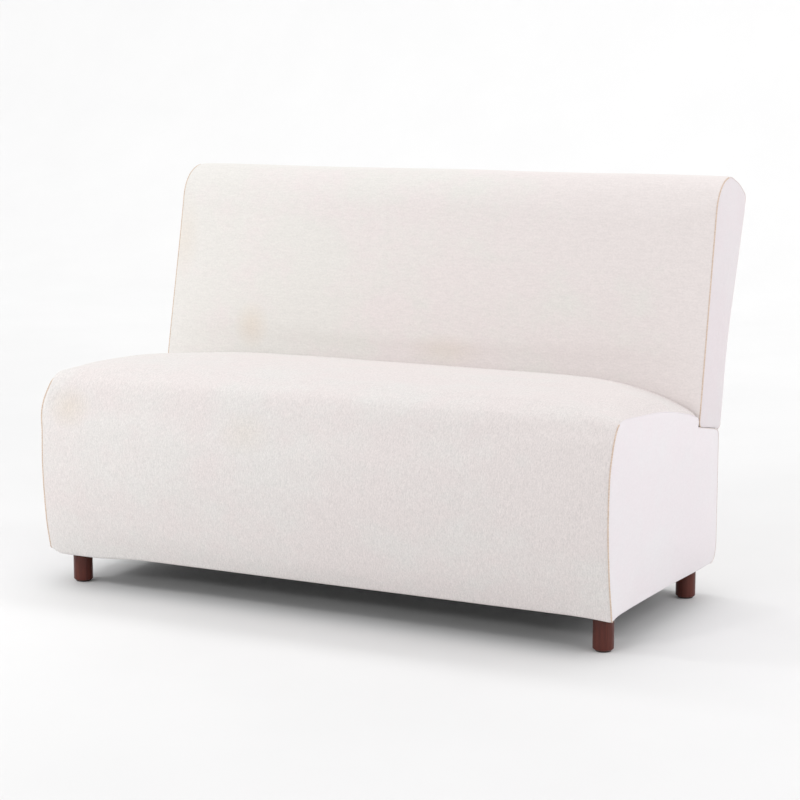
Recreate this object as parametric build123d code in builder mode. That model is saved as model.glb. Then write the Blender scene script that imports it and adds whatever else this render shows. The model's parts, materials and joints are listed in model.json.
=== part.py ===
from build123d import *
from math import cos, radians, sin, tan
import os

os.makedirs("parts", exist_ok=True)

# Outside of the base; heights count from its underside, depths from its foremost line
seat_width = 1252.0
base_depth = 594.0
ground_clearance = 75.0
front_tuck = 28.0
belly_height = 180.0
roll_height = 275.0
roll_set = 3.0
roll_depth = 80.0
edge_draw = 3.0
edge_front = 365.0
edge_mid = 351.0
edge_rear = 309.0
crown_front = 17.0
crown_mid = 40.0
crown_rear = 66.0
crown_power = 7.0

# Back: depths count from its front face, heights along its lean from the ledge it stands on
back_overhang = 4.0
ledge_depth = 119.0
ledge_height = 289.0
back_lean = 10.2
back_foot_depth = 132.0
back_straight = 429.0
back_roll = 82.0
back_top_slope = 14.0
back_kink = 175.0
back_flare = 9.2
back_round = 22.0
back_foot_round = 14.0
back_crown = 8.0
back_crown_start = 95.0
back_crown_power = 6.0

# Cloth, pads and gaps
cloth = 1.5
side_pad = 6.0
back_pad = 4.5
pad_edge = 2.5
back_foam_depth = 38.0
fit = 0.3
seat_gap = 1.0
ledge_gap = 2.0
edge_bulge = 1.0

# Base frame
board = 18.0
deck_height = 234.0
deck_thickness = 2.0
rebate_depth = 10.0
rebate_width = 12.0
inner_rail_set = 3.5
inner_rail_drop = 171.0
batten_width = 25.0
batten_height = 35.0
stretcher_height = 93.0
stretcher_spacing = 409.36
block_length = 80.0
block_height = 38.0

# Legs and their fixings
leg_diameter = 40.0
leg_side_inset = 37.0
leg_front_set = 82.0
leg_rear_set = 63.0
leg_chamfer = 2.5
glide_height = 3.0
glide_diameter = 30.0
nail_diameter = 2.5
nail_length = 15.0
bolt_diameter = 8.0
bolt_in_leg = 35.0
bolt_above_block = 9.0
tnut_flange = 19.0
tnut_flange_thickness = 1.6
tnut_barrel = 10.0
tnut_barrel_length = 9.0
bore_fit = 0.15

# Wood screws of the frame
screw_diameter = 5.0
screw_length = 60.0
screw_head = 10.0
screw_head_height = 3.0

# Zigzag springs, their clips and the wires across them
spring_count = 9
spring_bends = 18
spring_loop = 50.0
spring_wire = 3.6
clip_width = 16.0
clip_wall = 1.2
clip_clear = 0.5
tie_wire = 2.4

# Posts that carry the back and the sockets they stand in
post_width = 40.0
post_depth = 20.0
post_wall = 2.0
post_reach = 185.0
post_rise = 215.0
post_inset = 142.41
slide_fit = 0.5
sleeve_wall = 2.5
flange_margin = 12.0
flange_thickness = 3.0
socket_block_margin = 32.0
socket_block_drop = 176.0
flange_screw = 4.0
flange_screw_head = 8.0
flange_screw_length = 16.0

# Back frame
rail_height = 60.0
mid_rail_height = 65.0
cap_rise = 27.88
back_board = 3.0
strap_count = 8
strap_width = 60.0
strap_thickness = 1.5
bolt_head = 14.0
bolt_head_height = 5.0
nut_flats = 13.0
nut_height = 6.5
bolt_stub = 1.5

# Derived places of the base
lean = radians(back_lean)
half = seat_width / 2
back_set = base_depth - ledge_depth
base_z = ground_clearance
frame_z = base_z + cloth
rail_top = base_z + deck_height
deck_top = rail_top + deck_thickness
ledge_z = base_z + ledge_height
panel_out = half - side_pad
panel_in = panel_out - board
front_rail_front = front_tuck + cloth + pad_edge
front_rail_rear = front_rail_front + board
rear_rail_rear = base_depth - cloth
rear_rail_front = rear_rail_rear - board
inner_rail_front = back_set - inner_rail_set
inner_rail_rear = inner_rail_front + board
spring_z = rail_top - rebate_depth
ledge_under = cloth + board

# Derived places of the back
back_width = seat_width + 2 * back_overhang
back_half = back_width / 2 - cloth
stile_out = back_half - back_pad
stile_in = stile_out - board
strap_front = back_foam_depth
rail_front = strap_front + strap_thickness
post_front = rail_front + board
post_rear = post_front + post_depth
post_x = stile_in - post_inset
top_normal = Vector(sin(radians(back_top_slope)), cos(radians(back_top_slope)))
top_along = Vector(cos(radians(back_top_slope)), -sin(radians(back_top_slope)))
rear_normal = Vector(cos(radians(back_flare)), -sin(radians(back_flare)))
kink = Vector(back_foot_depth, back_kink)
roll_centre = Vector(back_roll, back_straight)
flat_start = roll_centre + top_normal * (back_roll - back_round)
flat_length = -(back_round + (flat_start - kink).dot(rear_normal)) / top_along.dot(rear_normal)
round_centre = flat_start + top_along * flat_length
rear_top = round_centre + rear_normal * back_round
cap_top = back_straight + cap_rise
cap_bottom = cap_top - board
overall_depth = back_set + round_centre.X * cos(lean) + round_centre.Y * sin(lean) + back_round

# Planes: base from the side and from above, back from the side
front_y = -overall_depth / 2
side = Plane(origin=(0, front_y, 0), x_dir=(0, 1, 0), z_dir=(1, 0, 0))
floor = Plane(origin=(0, front_y, 0))
back_side = Plane(
    origin=(0, front_y + back_set, ledge_z),
    x_dir=(0, cos(lean), -sin(lean)),
    z_dir=(1, 0, 0),
)
ledge = Plane(
    origin=(0, front_y + back_set, ledge_z),
    x_dir=(1, 0, 0),
    z_dir=(0, sin(lean), cos(lean)),
)
back_face = Plane(
    origin=(0, front_y + back_set, ledge_z),
    x_dir=(1, 0, 0),
    z_dir=(0, -cos(lean), sin(lean)),
)

# Places of the repeated pieces
seat_shares = (-1, -0.96, -0.87, -0.7, 0, 0.7, 0.87, 0.96, 1)
back_shares = (-1, -0.95, -0.8, 0, 0.8, 0.95, 1)
leg_x = half - leg_side_inset
leg_rear_d = base_depth - leg_rear_set
leg_places = [(x, d) for x in (-leg_x, leg_x) for d in (leg_front_set, leg_rear_d)]
spring_pitch = 2 * panel_in / (spring_count + 0.6)
spring_places = [(i - (spring_count - 1) / 2) * spring_pitch for i in range(spring_count)]
strap_pitch = 2 * stile_in / (strap_count + 0.6)
strap_places = [(i - (strap_count - 1) / 2) * strap_pitch for i in range(strap_count)]
post_places = (-post_x, post_x)


def back_line(z):
    """Depth of the back's front face at a height."""
    return back_set + (z - ledge_z) * tan(lean)


def ledge_line(d, drop):
    """Height of the ledge at a depth, or of a line that lies a drop below it."""
    return ledge_z - (d - back_set) * tan(lean) - drop / cos(lean)


def seat_section(share, inset, drop):
    """Draw one cross-section of the seat, at a share of its half width."""
    crown = 1 - abs(share) ** crown_power
    draw = edge_draw * (1 - crown) + inset
    top_front = base_z + edge_front + crown_front * crown
    top_mid = base_z + edge_mid + crown_mid * crown
    top_rear = base_z + edge_rear + crown_rear * crown - inset
    slack = seat_gap + inset / cos(lean)
    roll_z = base_z + roll_height
    hem = (front_tuck + inset, base_z - drop)
    foot = (front_tuck + inset, base_z)
    belly = (draw, base_z + belly_height)
    roll_foot = (roll_set + draw, roll_z)
    roll_mid = (0.3 * roll_depth + 0.78 * inset, roll_z + 0.66 * (top_front - roll_z) - 0.62 * inset)
    roll_end = (roll_depth, top_front - inset)
    middle = ((roll_depth + back_set) / 2, top_mid - inset)
    rear = (back_line(top_rear) - slack, top_rear)
    rear_foot = (back_line(base_z - drop) - slack, base_z - drop)
    Line(hem, foot)
    ThreePointArc(foot, belly, roll_foot)
    ThreePointArc(roll_foot, roll_mid, roll_end)
    ThreePointArc(roll_end, middle, rear)
    Line(rear, rear_foot)
    Line(rear_foot, hem)


def back_section(share, inset):
    """Draw one cross-section of the back, at a share of its half width."""
    bulge = edge_bulge + back_crown * (1 - abs(share) ** back_crown_power)
    foot_centre = Vector(back_foot_round, back_foot_round)
    foot_half = Vector(-1, -1).normalized()
    roll_half = (Vector(-1, 0) + top_normal).normalized()
    round_half = (top_normal + rear_normal).normalized()
    foot = Vector(back_foot_round, inset)
    front_low = Vector(inset, back_foot_round)
    crown_low = Vector(inset, back_crown_start)
    crown_mid_point = Vector(inset - bulge, (back_crown_start + back_straight) / 2)
    crown_high = Vector(inset, back_straight)
    roll_end = roll_centre + top_normal * (back_roll - inset)
    round_start = round_centre + top_normal * (back_round - inset)
    round_end = round_centre + rear_normal * (back_round - inset)
    bend = kink - Vector(inset, 0)
    heel = Vector(back_foot_depth - inset, inset)
    ThreePointArc(foot, foot_centre + foot_half * (back_foot_round - inset), front_low)
    Line(front_low, crown_low)
    ThreePointArc(crown_low, crown_mid_point, crown_high)
    ThreePointArc(crown_high, roll_centre + roll_half * (back_roll - inset), roll_end)
    Line(roll_end, round_start)
    ThreePointArc(round_start, round_centre + round_half * (back_round - inset), round_end)
    Polyline(round_end, bend, heel, foot)


def rear_strip(outer, inner, low, high):
    """Draw a strip that follows the rear of the back between two insets."""
    slope = tan(radians(back_flare))
    rise = (high - back_kink) * slope
    Polyline(
        (back_foot_depth - outer, low),
        (back_foot_depth - outer, back_kink),
        (back_foot_depth - outer + rise, high),
        (back_foot_depth - inner + rise, high),
        (back_foot_depth - inner, back_kink),
        (back_foot_depth - inner, low),
        close=True,
    )


# Screw places at each end of the frame, as depth and height
front_mid = (front_rail_front + front_rail_rear) / 2
rear_mid = (rear_rail_front + rear_rail_rear) / 2
inner_mid = (inner_rail_front + inner_rail_rear) / 2
inner_low = ledge_z - inner_rail_drop - ledge_under
batten_mid = inner_rail_front - batten_width / 2
screw_places = [
    (front_mid, frame_z + 0.25 * deck_height),
    (front_mid, frame_z + 0.8 * deck_height),
    (rear_mid, frame_z + 0.25 * deck_height),
    (rear_mid, frame_z + 0.8 * deck_height),
    (inner_mid, inner_low + 0.2 * inner_rail_drop),
    (inner_mid, inner_low + 0.8 * inner_rail_drop),
    (batten_mid, spring_z - batten_height / 2),
]

# Wood screws that hold the end panels to the rails
with BuildPart() as frame_screws:
    for hand in (-1, 1):
        with BuildSketch(side.offset(hand * panel_out)):
            with Locations(*screw_places):
                Circle(screw_head / 2)
        extrude(amount=-hand * screw_head_height)
        with BuildSketch(side.offset(hand * panel_out)):
            with Locations(*screw_places):
                Circle(screw_diameter / 2)
        extrude(amount=-hand * screw_length)
frame_screws.part.label = "frame_screws"
export_step(frame_screws.part, "parts/frame_screws.step")

# Bores for those screws, cut from the panels and rails
with BuildPart() as screw_bores:
    for hand in (-1, 1):
        with BuildSketch(side.offset(hand * panel_out)):
            with Locations(*screw_places):
                Circle(screw_head / 2 + bore_fit)
        extrude(amount=-hand * (screw_head_height + bore_fit))
        with BuildSketch(side.offset(hand * panel_out)):
            with Locations(*screw_places):
                Circle(screw_diameter / 2 + bore_fit)
        extrude(amount=-hand * (screw_length + bore_fit))

# Front rail with a rebate along its inner top edge for the spring clips
with BuildPart() as front_rail:
    with BuildSketch(side):
        with BuildLine():
            Polyline(
                (front_rail_front, frame_z),
                (front_rail_front, rail_top),
                (front_rail_rear - rebate_width, rail_top),
                (front_rail_rear - rebate_width, spring_z),
                (front_rail_rear, spring_z),
                (front_rail_rear, frame_z),
                close=True,
            )
        make_face()
    extrude(amount=panel_in, both=True)
    add(screw_bores.part, mode=Mode.SUBTRACT)
front_rail.part.label = "front_rail"
export_step(front_rail.part, "parts/front_rail.step")

# Rear rail, bevelled on top to the slope of the ledge
with BuildPart() as rear_rail:
    with BuildSketch(side):
        with BuildLine():
            Polyline(
                (rear_rail_front, frame_z),
                (rear_rail_front, ledge_line(rear_rail_front, ledge_under)),
                (rear_rail_rear, ledge_line(rear_rail_rear, ledge_under)),
                (rear_rail_rear, frame_z),
                close=True,
            )
        make_face()
    extrude(amount=panel_in, both=True)
    add(screw_bores.part, mode=Mode.SUBTRACT)
rear_rail.part.label = "rear_rail"
export_step(rear_rail.part, "parts/rear_rail.step")

# Inner rail that closes the box under the ledge and carries the rear of the springs
with BuildPart() as inner_rail:
    with BuildSketch(side):
        with BuildLine():
            Polyline(
                (inner_rail_front, inner_low),
                (inner_rail_front, ledge_line(inner_rail_front, ledge_under)),
                (inner_rail_rear, ledge_line(inner_rail_rear, ledge_under)),
                (inner_rail_rear, inner_low),
                close=True,
            )
        make_face()
    extrude(amount=panel_in, both=True)
    add(screw_bores.part, mode=Mode.SUBTRACT)
inner_rail.part.label = "inner_rail"
export_step(inner_rail.part, "parts/inner_rail.step")

# Batten on the inner rail for the rear spring clips
with BuildPart() as spring_batten:
    with BuildSketch(side):
        with BuildLine():
            Polyline(
                (inner_rail_front - batten_width, spring_z - batten_height),
                (inner_rail_front - batten_width, spring_z),
                (inner_rail_front, spring_z),
                (inner_rail_front, spring_z - batten_height),
                close=True,
            )
        make_face()
    extrude(amount=panel_in, both=True)
    add(screw_bores.part, mode=Mode.SUBTRACT)
spring_batten.part.label = "spring_batten"
export_step(spring_batten.part, "parts/spring_batten.step")


def panel_outline():
    """Draw the outline of an end panel: low under the seat, high under the ledge."""
    Polyline(
        (front_rail_front, frame_z),
        (front_rail_front, rail_top),
        (inner_rail_front, rail_top),
        (inner_rail_front, ledge_line(inner_rail_front, ledge_under)),
        (rear_rail_rear, ledge_line(rear_rail_rear, ledge_under)),
        (rear_rail_rear, frame_z),
        close=True,
    )


# End panels, left and right
with BuildPart() as end_panel_left:
    with BuildSketch(side.offset(-panel_out)):
        with BuildLine():
            panel_outline()
        make_face()
    extrude(amount=board)
    add(screw_bores.part, mode=Mode.SUBTRACT)
end_panel_left.part.label = "end_panel_left"
export_step(end_panel_left.part, "parts/end_panel_left.step")

with BuildPart() as end_panel_right:
    with BuildSketch(side.offset(panel_out)):
        with BuildLine():
            panel_outline()
        make_face()
    extrude(amount=-board)
    add(screw_bores.part, mode=Mode.SUBTRACT)
end_panel_right.part.label = "end_panel_right"
export_step(end_panel_right.part, "parts/end_panel_right.step")

# Stretchers from front rail to rear rail, with the inner rail standing on them
stretcher_mid = (front_rail_rear + rear_rail_front) / 2
stretcher_length = rear_rail_front - front_rail_rear
stretcher_x = stretcher_spacing / 2
stretcher_top = min(frame_z + stretcher_height, inner_low)
with BuildPart() as stretcher_left:
    with BuildSketch(floor.offset(frame_z)):
        with Locations((-stretcher_x, stretcher_mid)):
            Rectangle(board, stretcher_length)
    extrude(amount=stretcher_top - frame_z)
stretcher_left.part.label = "stretcher_left"
export_step(stretcher_left.part, "parts/stretcher_left.step")

with BuildPart() as stretcher_right:
    with BuildSketch(floor.offset(frame_z)):
        with Locations((stretcher_x, stretcher_mid)):
            Rectangle(board, stretcher_length)
    extrude(amount=stretcher_top - frame_z)
stretcher_right.part.label = "stretcher_right"
export_step(stretcher_right.part, "parts/stretcher_right.step")

# Corner blocks that take the leg bolts
block_mid_x = panel_in - block_length / 2
with BuildPart() as corner_blocks:
    with BuildSketch(floor.offset(frame_z)):
        with Locations(
            (-block_mid_x, front_rail_rear + block_length / 2),
            (block_mid_x, front_rail_rear + block_length / 2),
            (-block_mid_x, rear_rail_front - block_length / 2),
            (block_mid_x, rear_rail_front - block_length / 2),
        ):
            Rectangle(block_length, block_length)
        with Locations(*leg_places):
            Circle(tnut_barrel / 2 + bore_fit, mode=Mode.SUBTRACT)
    extrude(amount=block_height)
corner_blocks.part.label = "corner_blocks"
export_step(corner_blocks.part, "parts/corner_blocks.step")

# T-nuts pressed into the blocks from above
block_top = frame_z + block_height
with BuildPart() as t_nuts:
    with BuildSketch(floor.offset(block_top)):
        with Locations(*leg_places):
            Circle(tnut_flange / 2)
    extrude(amount=tnut_flange_thickness)
    with BuildSketch(floor.offset(block_top)):
        with Locations(*leg_places):
            Circle(tnut_barrel / 2)
    extrude(amount=-tnut_barrel_length)
    with BuildSketch(floor.offset(block_top - tnut_barrel_length)):
        with Locations(*leg_places):
            Circle(bolt_diameter / 2 + bore_fit)
    extrude(amount=tnut_barrel_length + tnut_flange_thickness, mode=Mode.SUBTRACT)
t_nuts.part.label = "t_nuts"
export_step(t_nuts.part, "parts/t_nuts.step")

# Leg bolts, one end in the leg and the other in the T-nut
with BuildPart() as leg_bolts:
    with BuildSketch(floor.offset(base_z - bolt_in_leg)):
        with Locations(*leg_places):
            Circle(bolt_diameter / 2)
    extrude(amount=block_top + bolt_above_block - base_z + bolt_in_leg)
leg_bolts.part.label = "leg_bolts"
export_step(leg_bolts.part, "parts/leg_bolts.step")


def leg_profile():
    """Draw half of a leg's outline, with its bolt hole and its nail hole."""
    radius = leg_diameter / 2
    bolt = bolt_diameter / 2 + bore_fit
    nail = nail_diameter / 2 + bore_fit
    nail_top = glide_height + nail_length + bore_fit
    bolt_low = base_z - bolt_in_leg - bore_fit
    Polyline(
        (nail, glide_height),
        (radius - leg_chamfer, glide_height),
        (radius, glide_height + leg_chamfer),
        (radius, base_z),
        (bolt, base_z),
        (bolt, bolt_low),
        (0, bolt_low),
        (0, nail_top),
        (nail, nail_top),
        close=True,
    )


def leg_plane(x, d):
    """Upright plane through the axis of a leg."""
    return Plane(origin=(x, front_y + d, 0), x_dir=(1, 0, 0), z_dir=(0, -1, 0))


# Four turned legs
front_left = leg_plane(-leg_x, leg_front_set)
with BuildPart() as leg_front_left:
    with BuildSketch(front_left):
        with BuildLine():
            leg_profile()
        make_face()
    revolve(axis=Axis(front_left.origin, (0, 0, 1)))
leg_front_left.part.label = "leg_front_left"
export_step(leg_front_left.part, "parts/leg_front_left.step")

front_right = leg_plane(leg_x, leg_front_set)
with BuildPart() as leg_front_right:
    with BuildSketch(front_right):
        with BuildLine():
            leg_profile()
        make_face()
    revolve(axis=Axis(front_right.origin, (0, 0, 1)))
leg_front_right.part.label = "leg_front_right"
export_step(leg_front_right.part, "parts/leg_front_right.step")

rear_left = leg_plane(-leg_x, leg_rear_d)
with BuildPart() as leg_rear_left:
    with BuildSketch(rear_left):
        with BuildLine():
            leg_profile()
        make_face()
    revolve(axis=Axis(rear_left.origin, (0, 0, 1)))
leg_rear_left.part.label = "leg_rear_left"
export_step(leg_rear_left.part, "parts/leg_rear_left.step")

rear_right = leg_plane(leg_x, leg_rear_d)
with BuildPart() as leg_rear_right:
    with BuildSketch(rear_right):
        with BuildLine():
            leg_profile()
        make_face()
    revolve(axis=Axis(rear_right.origin, (0, 0, 1)))
leg_rear_right.part.label = "leg_rear_right"
export_step(leg_rear_right.part, "parts/leg_rear_right.step")

# Plastic glides nailed under the legs
with BuildPart() as leg_glides:
    with BuildSketch(floor):
        with Locations(*leg_places):
            Circle(glide_diameter / 2)
    extrude(amount=glide_height)
    with BuildSketch(floor.offset(glide_height)):
        with Locations(*leg_places):
            Circle(nail_diameter / 2)
    extrude(amount=nail_length)
leg_glides.part.label = "leg_glides"
export_step(leg_glides.part, "parts/leg_glides.step")

# One zigzag spring, drawn on the middle line, then set out along the seat
wire_z = spring_z + clip_wall + spring_wire / 2 + bore_fit
spring_start = front_rail_rear - rebate_width / 2
spring_end = inner_rail_front - batten_width / 2
bend_step = (spring_end - spring_start) / spring_bends
reach = spring_loop / 2 - spring_wire / 2
zigzag = []
for i in range(spring_bends + 1):
    turn = reach if i % 2 == 0 else -reach
    zigzag.append((-turn, spring_start + i * bend_step))
    zigzag.append((turn, spring_start + i * bend_step))
with BuildPart() as one_spring:
    with BuildLine(floor.offset(wire_z)) as spring_path:
        FilletPolyline(*zigzag, radius=0.48 * bend_step)
    with BuildSketch(Plane(origin=spring_path.line @ 0, z_dir=spring_path.line % 0)):
        Circle(spring_wire / 2)
    sweep(path=spring_path.line)

with BuildPart() as seat_springs:
    for x in spring_places:
        with Locations((x, 0, 0)):
            add(one_spring.part)
seat_springs.part.label = "seat_springs"
export_step(seat_springs.part, "parts/seat_springs.step")

# Clips that hold the springs' end runs, front and rear
clip_tab = rebate_width / 2 - clip_clear
with BuildPart() as spring_clips:
    for x in spring_places:
        with BuildSketch(side.offset(x)):
            with Locations((spring_start, wire_z), (spring_end, wire_z)):
                Circle(spring_wire / 2 + bore_fit + clip_wall)
            with Locations(
                (spring_start - clip_tab / 2, spring_z + clip_wall / 2),
                (spring_end + clip_tab / 2, spring_z + clip_wall / 2),
            ):
                Rectangle(clip_tab, clip_wall)
            with Locations((spring_start, wire_z), (spring_end, wire_z)):
                Circle(spring_wire / 2 + bore_fit, mode=Mode.SUBTRACT)
        extrude(amount=clip_width / 2, both=True)
spring_clips.part.label = "spring_clips"
export_step(spring_clips.part, "parts/spring_clips.step")

# Tie wires across the springs, on top of a run of each
tie_z = wire_z + spring_wire / 2 + tie_wire / 2 + bore_fit
tie_rows = (spring_start + 6 * bend_step, spring_start + 12 * bend_step)
tie_length = spring_places[-1] - spring_places[0] + spring_loop
with BuildPart() as tie_wires:
    with BuildSketch(side.offset(-tie_length / 2)):
        with Locations(*[(d, tie_z) for d in tie_rows]):
            Circle(tie_wire / 2)
    extrude(amount=tie_length)
tie_wires.part.label = "tie_wires"
export_step(tie_wires.part, "parts/tie_wires.step")

# Deck cloth over the springs
with BuildPart() as seat_deck:
    with BuildSketch(floor.offset(rail_top)):
        with Locations((0, (front_rail_front + inner_rail_front) / 2)):
            Rectangle(2 * panel_out, inner_rail_front - front_rail_front)
    extrude(amount=deck_thickness)
seat_deck.part.label = "seat_deck"
export_step(seat_deck.part, "parts/seat_deck.step")

# Space that the cloth of the seat encloses, and the filling that stands a little inside it
with BuildPart() as seat_hollow:
    for share in seat_shares:
        with BuildSketch(side.offset(share * (half + cloth))):
            with BuildLine():
                seat_section(share, cloth, 30)
            make_face()
    loft()

with BuildPart() as seat_core:
    for share in seat_shares:
        with BuildSketch(side.offset(share * (half - fit))):
            with BuildLine():
                seat_section(share, cloth + fit, 20)
            make_face()
    loft()

# Front and top cover of the seat, one wrap from the lower front edge to the back
with BuildPart() as seat_cover:
    for share in seat_shares:
        with BuildSketch(side.offset(share * half)):
            with BuildLine():
                seat_section(share, 0, 20)
            make_face()
    loft()
    add(seat_hollow.part, mode=Mode.SUBTRACT)
    with BuildSketch(side):
        with BuildLine():
            Polyline(
                (-base_depth, base_z),
                (front_rail_rear, base_z),
                (front_rail_rear, deck_top),
                (2 * base_depth, deck_top),
                (2 * base_depth, -base_z),
                (-base_depth, -base_z),
                close=True,
            )
        make_face()
    extrude(amount=seat_width, both=True, mode=Mode.SUBTRACT)
seat_cover.part.label = "seat_cover"
export_step(seat_cover.part, "parts/seat_cover.step")

# Crowned seat foam above the deck
with BuildPart() as seat_foam:
    add(seat_core.part)
    with BuildSketch(side):
        with Locations((base_depth / 2, deck_top / 2 - base_z)):
            Rectangle(4 * base_depth, deck_top + 2 * base_z)
    extrude(amount=seat_width, both=True, mode=Mode.SUBTRACT)
seat_foam.part.label = "seat_foam"
export_step(seat_foam.part, "parts/seat_foam.step")

# Front pad between the front rail and the cover
with BuildPart() as front_pad:
    with BuildSketch(side):
        with BuildLine():
            Polyline(
                (-base_depth, frame_z),
                (-base_depth, deck_top),
                (front_rail_front, deck_top),
                (front_rail_front, frame_z),
                close=True,
            )
        make_face()
    extrude(amount=seat_width, both=True)
    add(seat_core.part, mode=Mode.INTERSECT)
front_pad.part.label = "front_pad"
export_step(front_pad.part, "parts/front_pad.step")

# Side pads on the end panels
with BuildPart() as side_pad_left:
    with BuildSketch(side.offset(-half)):
        with BuildLine():
            panel_outline()
        make_face()
    extrude(amount=side_pad)
side_pad_left.part.label = "side_pad_left"
export_step(side_pad_left.part, "parts/side_pad_left.step")

with BuildPart() as side_pad_right:
    with BuildSketch(side.offset(half)):
        with BuildLine():
            panel_outline()
        make_face()
    extrude(amount=-side_pad)
side_pad_right.part.label = "side_pad_right"
export_step(side_pad_right.part, "parts/side_pad_right.step")


def rear_side_outline():
    """Draw the part of a side cover that lies under the back."""
    Polyline(
        (back_line(base_z) - base_z, base_z),
        (back_line(base_z) - base_z, ledge_z),
        (back_set, ledge_z),
        (base_depth, ledge_line(base_depth, 0)),
        (base_depth, base_z),
        close=True,
    )


# Side covers of the base, from the seat's crown to under the back
with BuildPart() as side_cover_left:
    with BuildSketch(side.offset(-half)) as left_face:
        with BuildLine():
            seat_section(1, 0, 20)
        make_face()
        with BuildLine():
            rear_side_outline()
        make_face()
        with Locations((base_depth / 2, base_z - base_depth / 2)):
            Rectangle(2 * base_depth, base_depth, mode=Mode.SUBTRACT)
    extrude(amount=-cloth)
side_cover_left.part.label = "side_cover_left"
export_step(side_cover_left.part, "parts/side_cover_left.step")

with BuildPart() as side_cover_right:
    with BuildSketch(side.offset(half)) as right_face:
        with BuildLine():
            seat_section(1, 0, 20)
        make_face()
        with BuildLine():
            rear_side_outline()
        make_face()
        with Locations((base_depth / 2, base_z - base_depth / 2)):
            Rectangle(2 * base_depth, base_depth, mode=Mode.SUBTRACT)
    extrude(amount=cloth)
side_cover_right.part.label = "side_cover_right"
export_step(side_cover_right.part, "parts/side_cover_right.step")

# Rear cover of the base
with BuildPart() as rear_cover:
    with BuildSketch(side):
        with BuildLine():
            Polyline(
                (rear_rail_rear, base_z),
                (rear_rail_rear, ledge_line(rear_rail_rear, 0)),
                (base_depth, ledge_line(base_depth, 0)),
                (base_depth, base_z),
                close=True,
            )
        make_face()
    extrude(amount=half, both=True)
rear_cover.part.label = "rear_cover"
export_step(rear_cover.part, "parts/rear_cover.step")

# Dust cover under the base, with a hole for each leg bolt
dust_front = front_tuck + cloth + fit
with BuildPart() as dust_cover:
    with BuildSketch(floor.offset(base_z)):
        with Locations((0, (dust_front + rear_rail_rear) / 2)):
            Rectangle(2 * half, rear_rail_rear - dust_front)
        with Locations(*leg_places):
            Circle(bolt_diameter / 2 + fit, mode=Mode.SUBTRACT)
    extrude(amount=cloth)
dust_cover.part.label = "dust_cover"
export_step(dust_cover.part, "parts/dust_cover.step")

# Sockets for the posts: a sleeve down into the base with a flange at the ledge
post_mid = (post_front + post_rear) / 2
hole_width = post_width + 2 * slide_fit
hole_depth = post_depth + 2 * slide_fit
sleeve_width = hole_width + 2 * sleeve_wall
sleeve_depth = hole_depth + 2 * sleeve_wall
flange_width = sleeve_width + 4 * flange_margin
flange_depth = sleeve_depth + flange_margin
flange_screw_x = sleeve_width / 2 + flange_margin
flange_holes = [(x + hand * flange_screw_x, post_mid) for x in post_places for hand in (-1, 1)]
ledge_rear = (rear_rail_rear - back_set) / cos(lean) - pad_edge

with BuildPart() as post_socket_left:
    with BuildSketch(ledge):
        with Locations((-post_x, post_mid)):
            Rectangle(flange_width, flange_depth)
    extrude(amount=-flange_thickness)
    with BuildSketch(ledge):
        with Locations((-post_x, post_mid)):
            Rectangle(sleeve_width, sleeve_depth)
    extrude(amount=-post_reach)
    with BuildSketch(ledge):
        with Locations((-post_x, post_mid)):
            Rectangle(hole_width, hole_depth)
    extrude(amount=-post_reach, mode=Mode.SUBTRACT)
    with BuildSketch(ledge):
        with Locations(*flange_holes):
            Circle(flange_screw_head / 2 + bore_fit)
    extrude(amount=-flange_thickness, mode=Mode.SUBTRACT)
post_socket_left.part.label = "post_socket_left"
export_step(post_socket_left.part, "parts/post_socket_left.step")

with BuildPart() as post_socket_right:
    with BuildSketch(ledge):
        with Locations((post_x, post_mid)):
            Rectangle(flange_width, flange_depth)
    extrude(amount=-flange_thickness)
    with BuildSketch(ledge):
        with Locations((post_x, post_mid)):
            Rectangle(sleeve_width, sleeve_depth)
    extrude(amount=-post_reach)
    with BuildSketch(ledge):
        with Locations((post_x, post_mid)):
            Rectangle(hole_width, hole_depth)
    extrude(amount=-post_reach, mode=Mode.SUBTRACT)
    with BuildSketch(ledge):
        with Locations(*flange_holes):
            Circle(flange_screw_head / 2 + bore_fit)
    extrude(amount=-flange_thickness, mode=Mode.SUBTRACT)
post_socket_right.part.label = "post_socket_right"
export_step(post_socket_right.part, "parts/post_socket_right.step")

# Screws through the flanges, each head as deep as its flange
with BuildPart() as flange_screws:
    with BuildSketch(ledge):
        with Locations(*flange_holes):
            Circle(flange_screw_head / 2)
    extrude(amount=-flange_thickness)
    with BuildSketch(ledge.offset(-flange_thickness)):
        with Locations(*flange_holes):
            Circle(flange_screw / 2)
    extrude(amount=-flange_screw_length)
flange_screws.part.label = "flange_screws"
export_step(flange_screws.part, "parts/flange_screws.step")

# Ledge board that the back stands on, let in for the flanges
ledge_middle = (ledge_gap + ledge_rear) / 2
with BuildPart() as ledge_board:
    with BuildSketch(ledge.offset(-cloth)):
        with Locations((0, ledge_middle)):
            Rectangle(2 * panel_out, ledge_rear - ledge_gap)
    extrude(amount=-board)
    with BuildSketch(ledge.offset(-cloth)):
        with Locations((-post_x, post_mid), (post_x, post_mid)):
            Rectangle(flange_width + 2 * fit, flange_depth + 2 * fit)
    extrude(amount=cloth - flange_thickness, mode=Mode.SUBTRACT)
    with BuildSketch(ledge.offset(-cloth)):
        with Locations((-post_x, post_mid), (post_x, post_mid)):
            Rectangle(sleeve_width + 2 * fit, sleeve_depth + 2 * fit)
        with Locations(*flange_holes):
            Circle(flange_screw / 2 + bore_fit)
    extrude(amount=-board, mode=Mode.SUBTRACT)
ledge_board.part.label = "ledge_board"
export_step(ledge_board.part, "parts/ledge_board.step")

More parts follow.
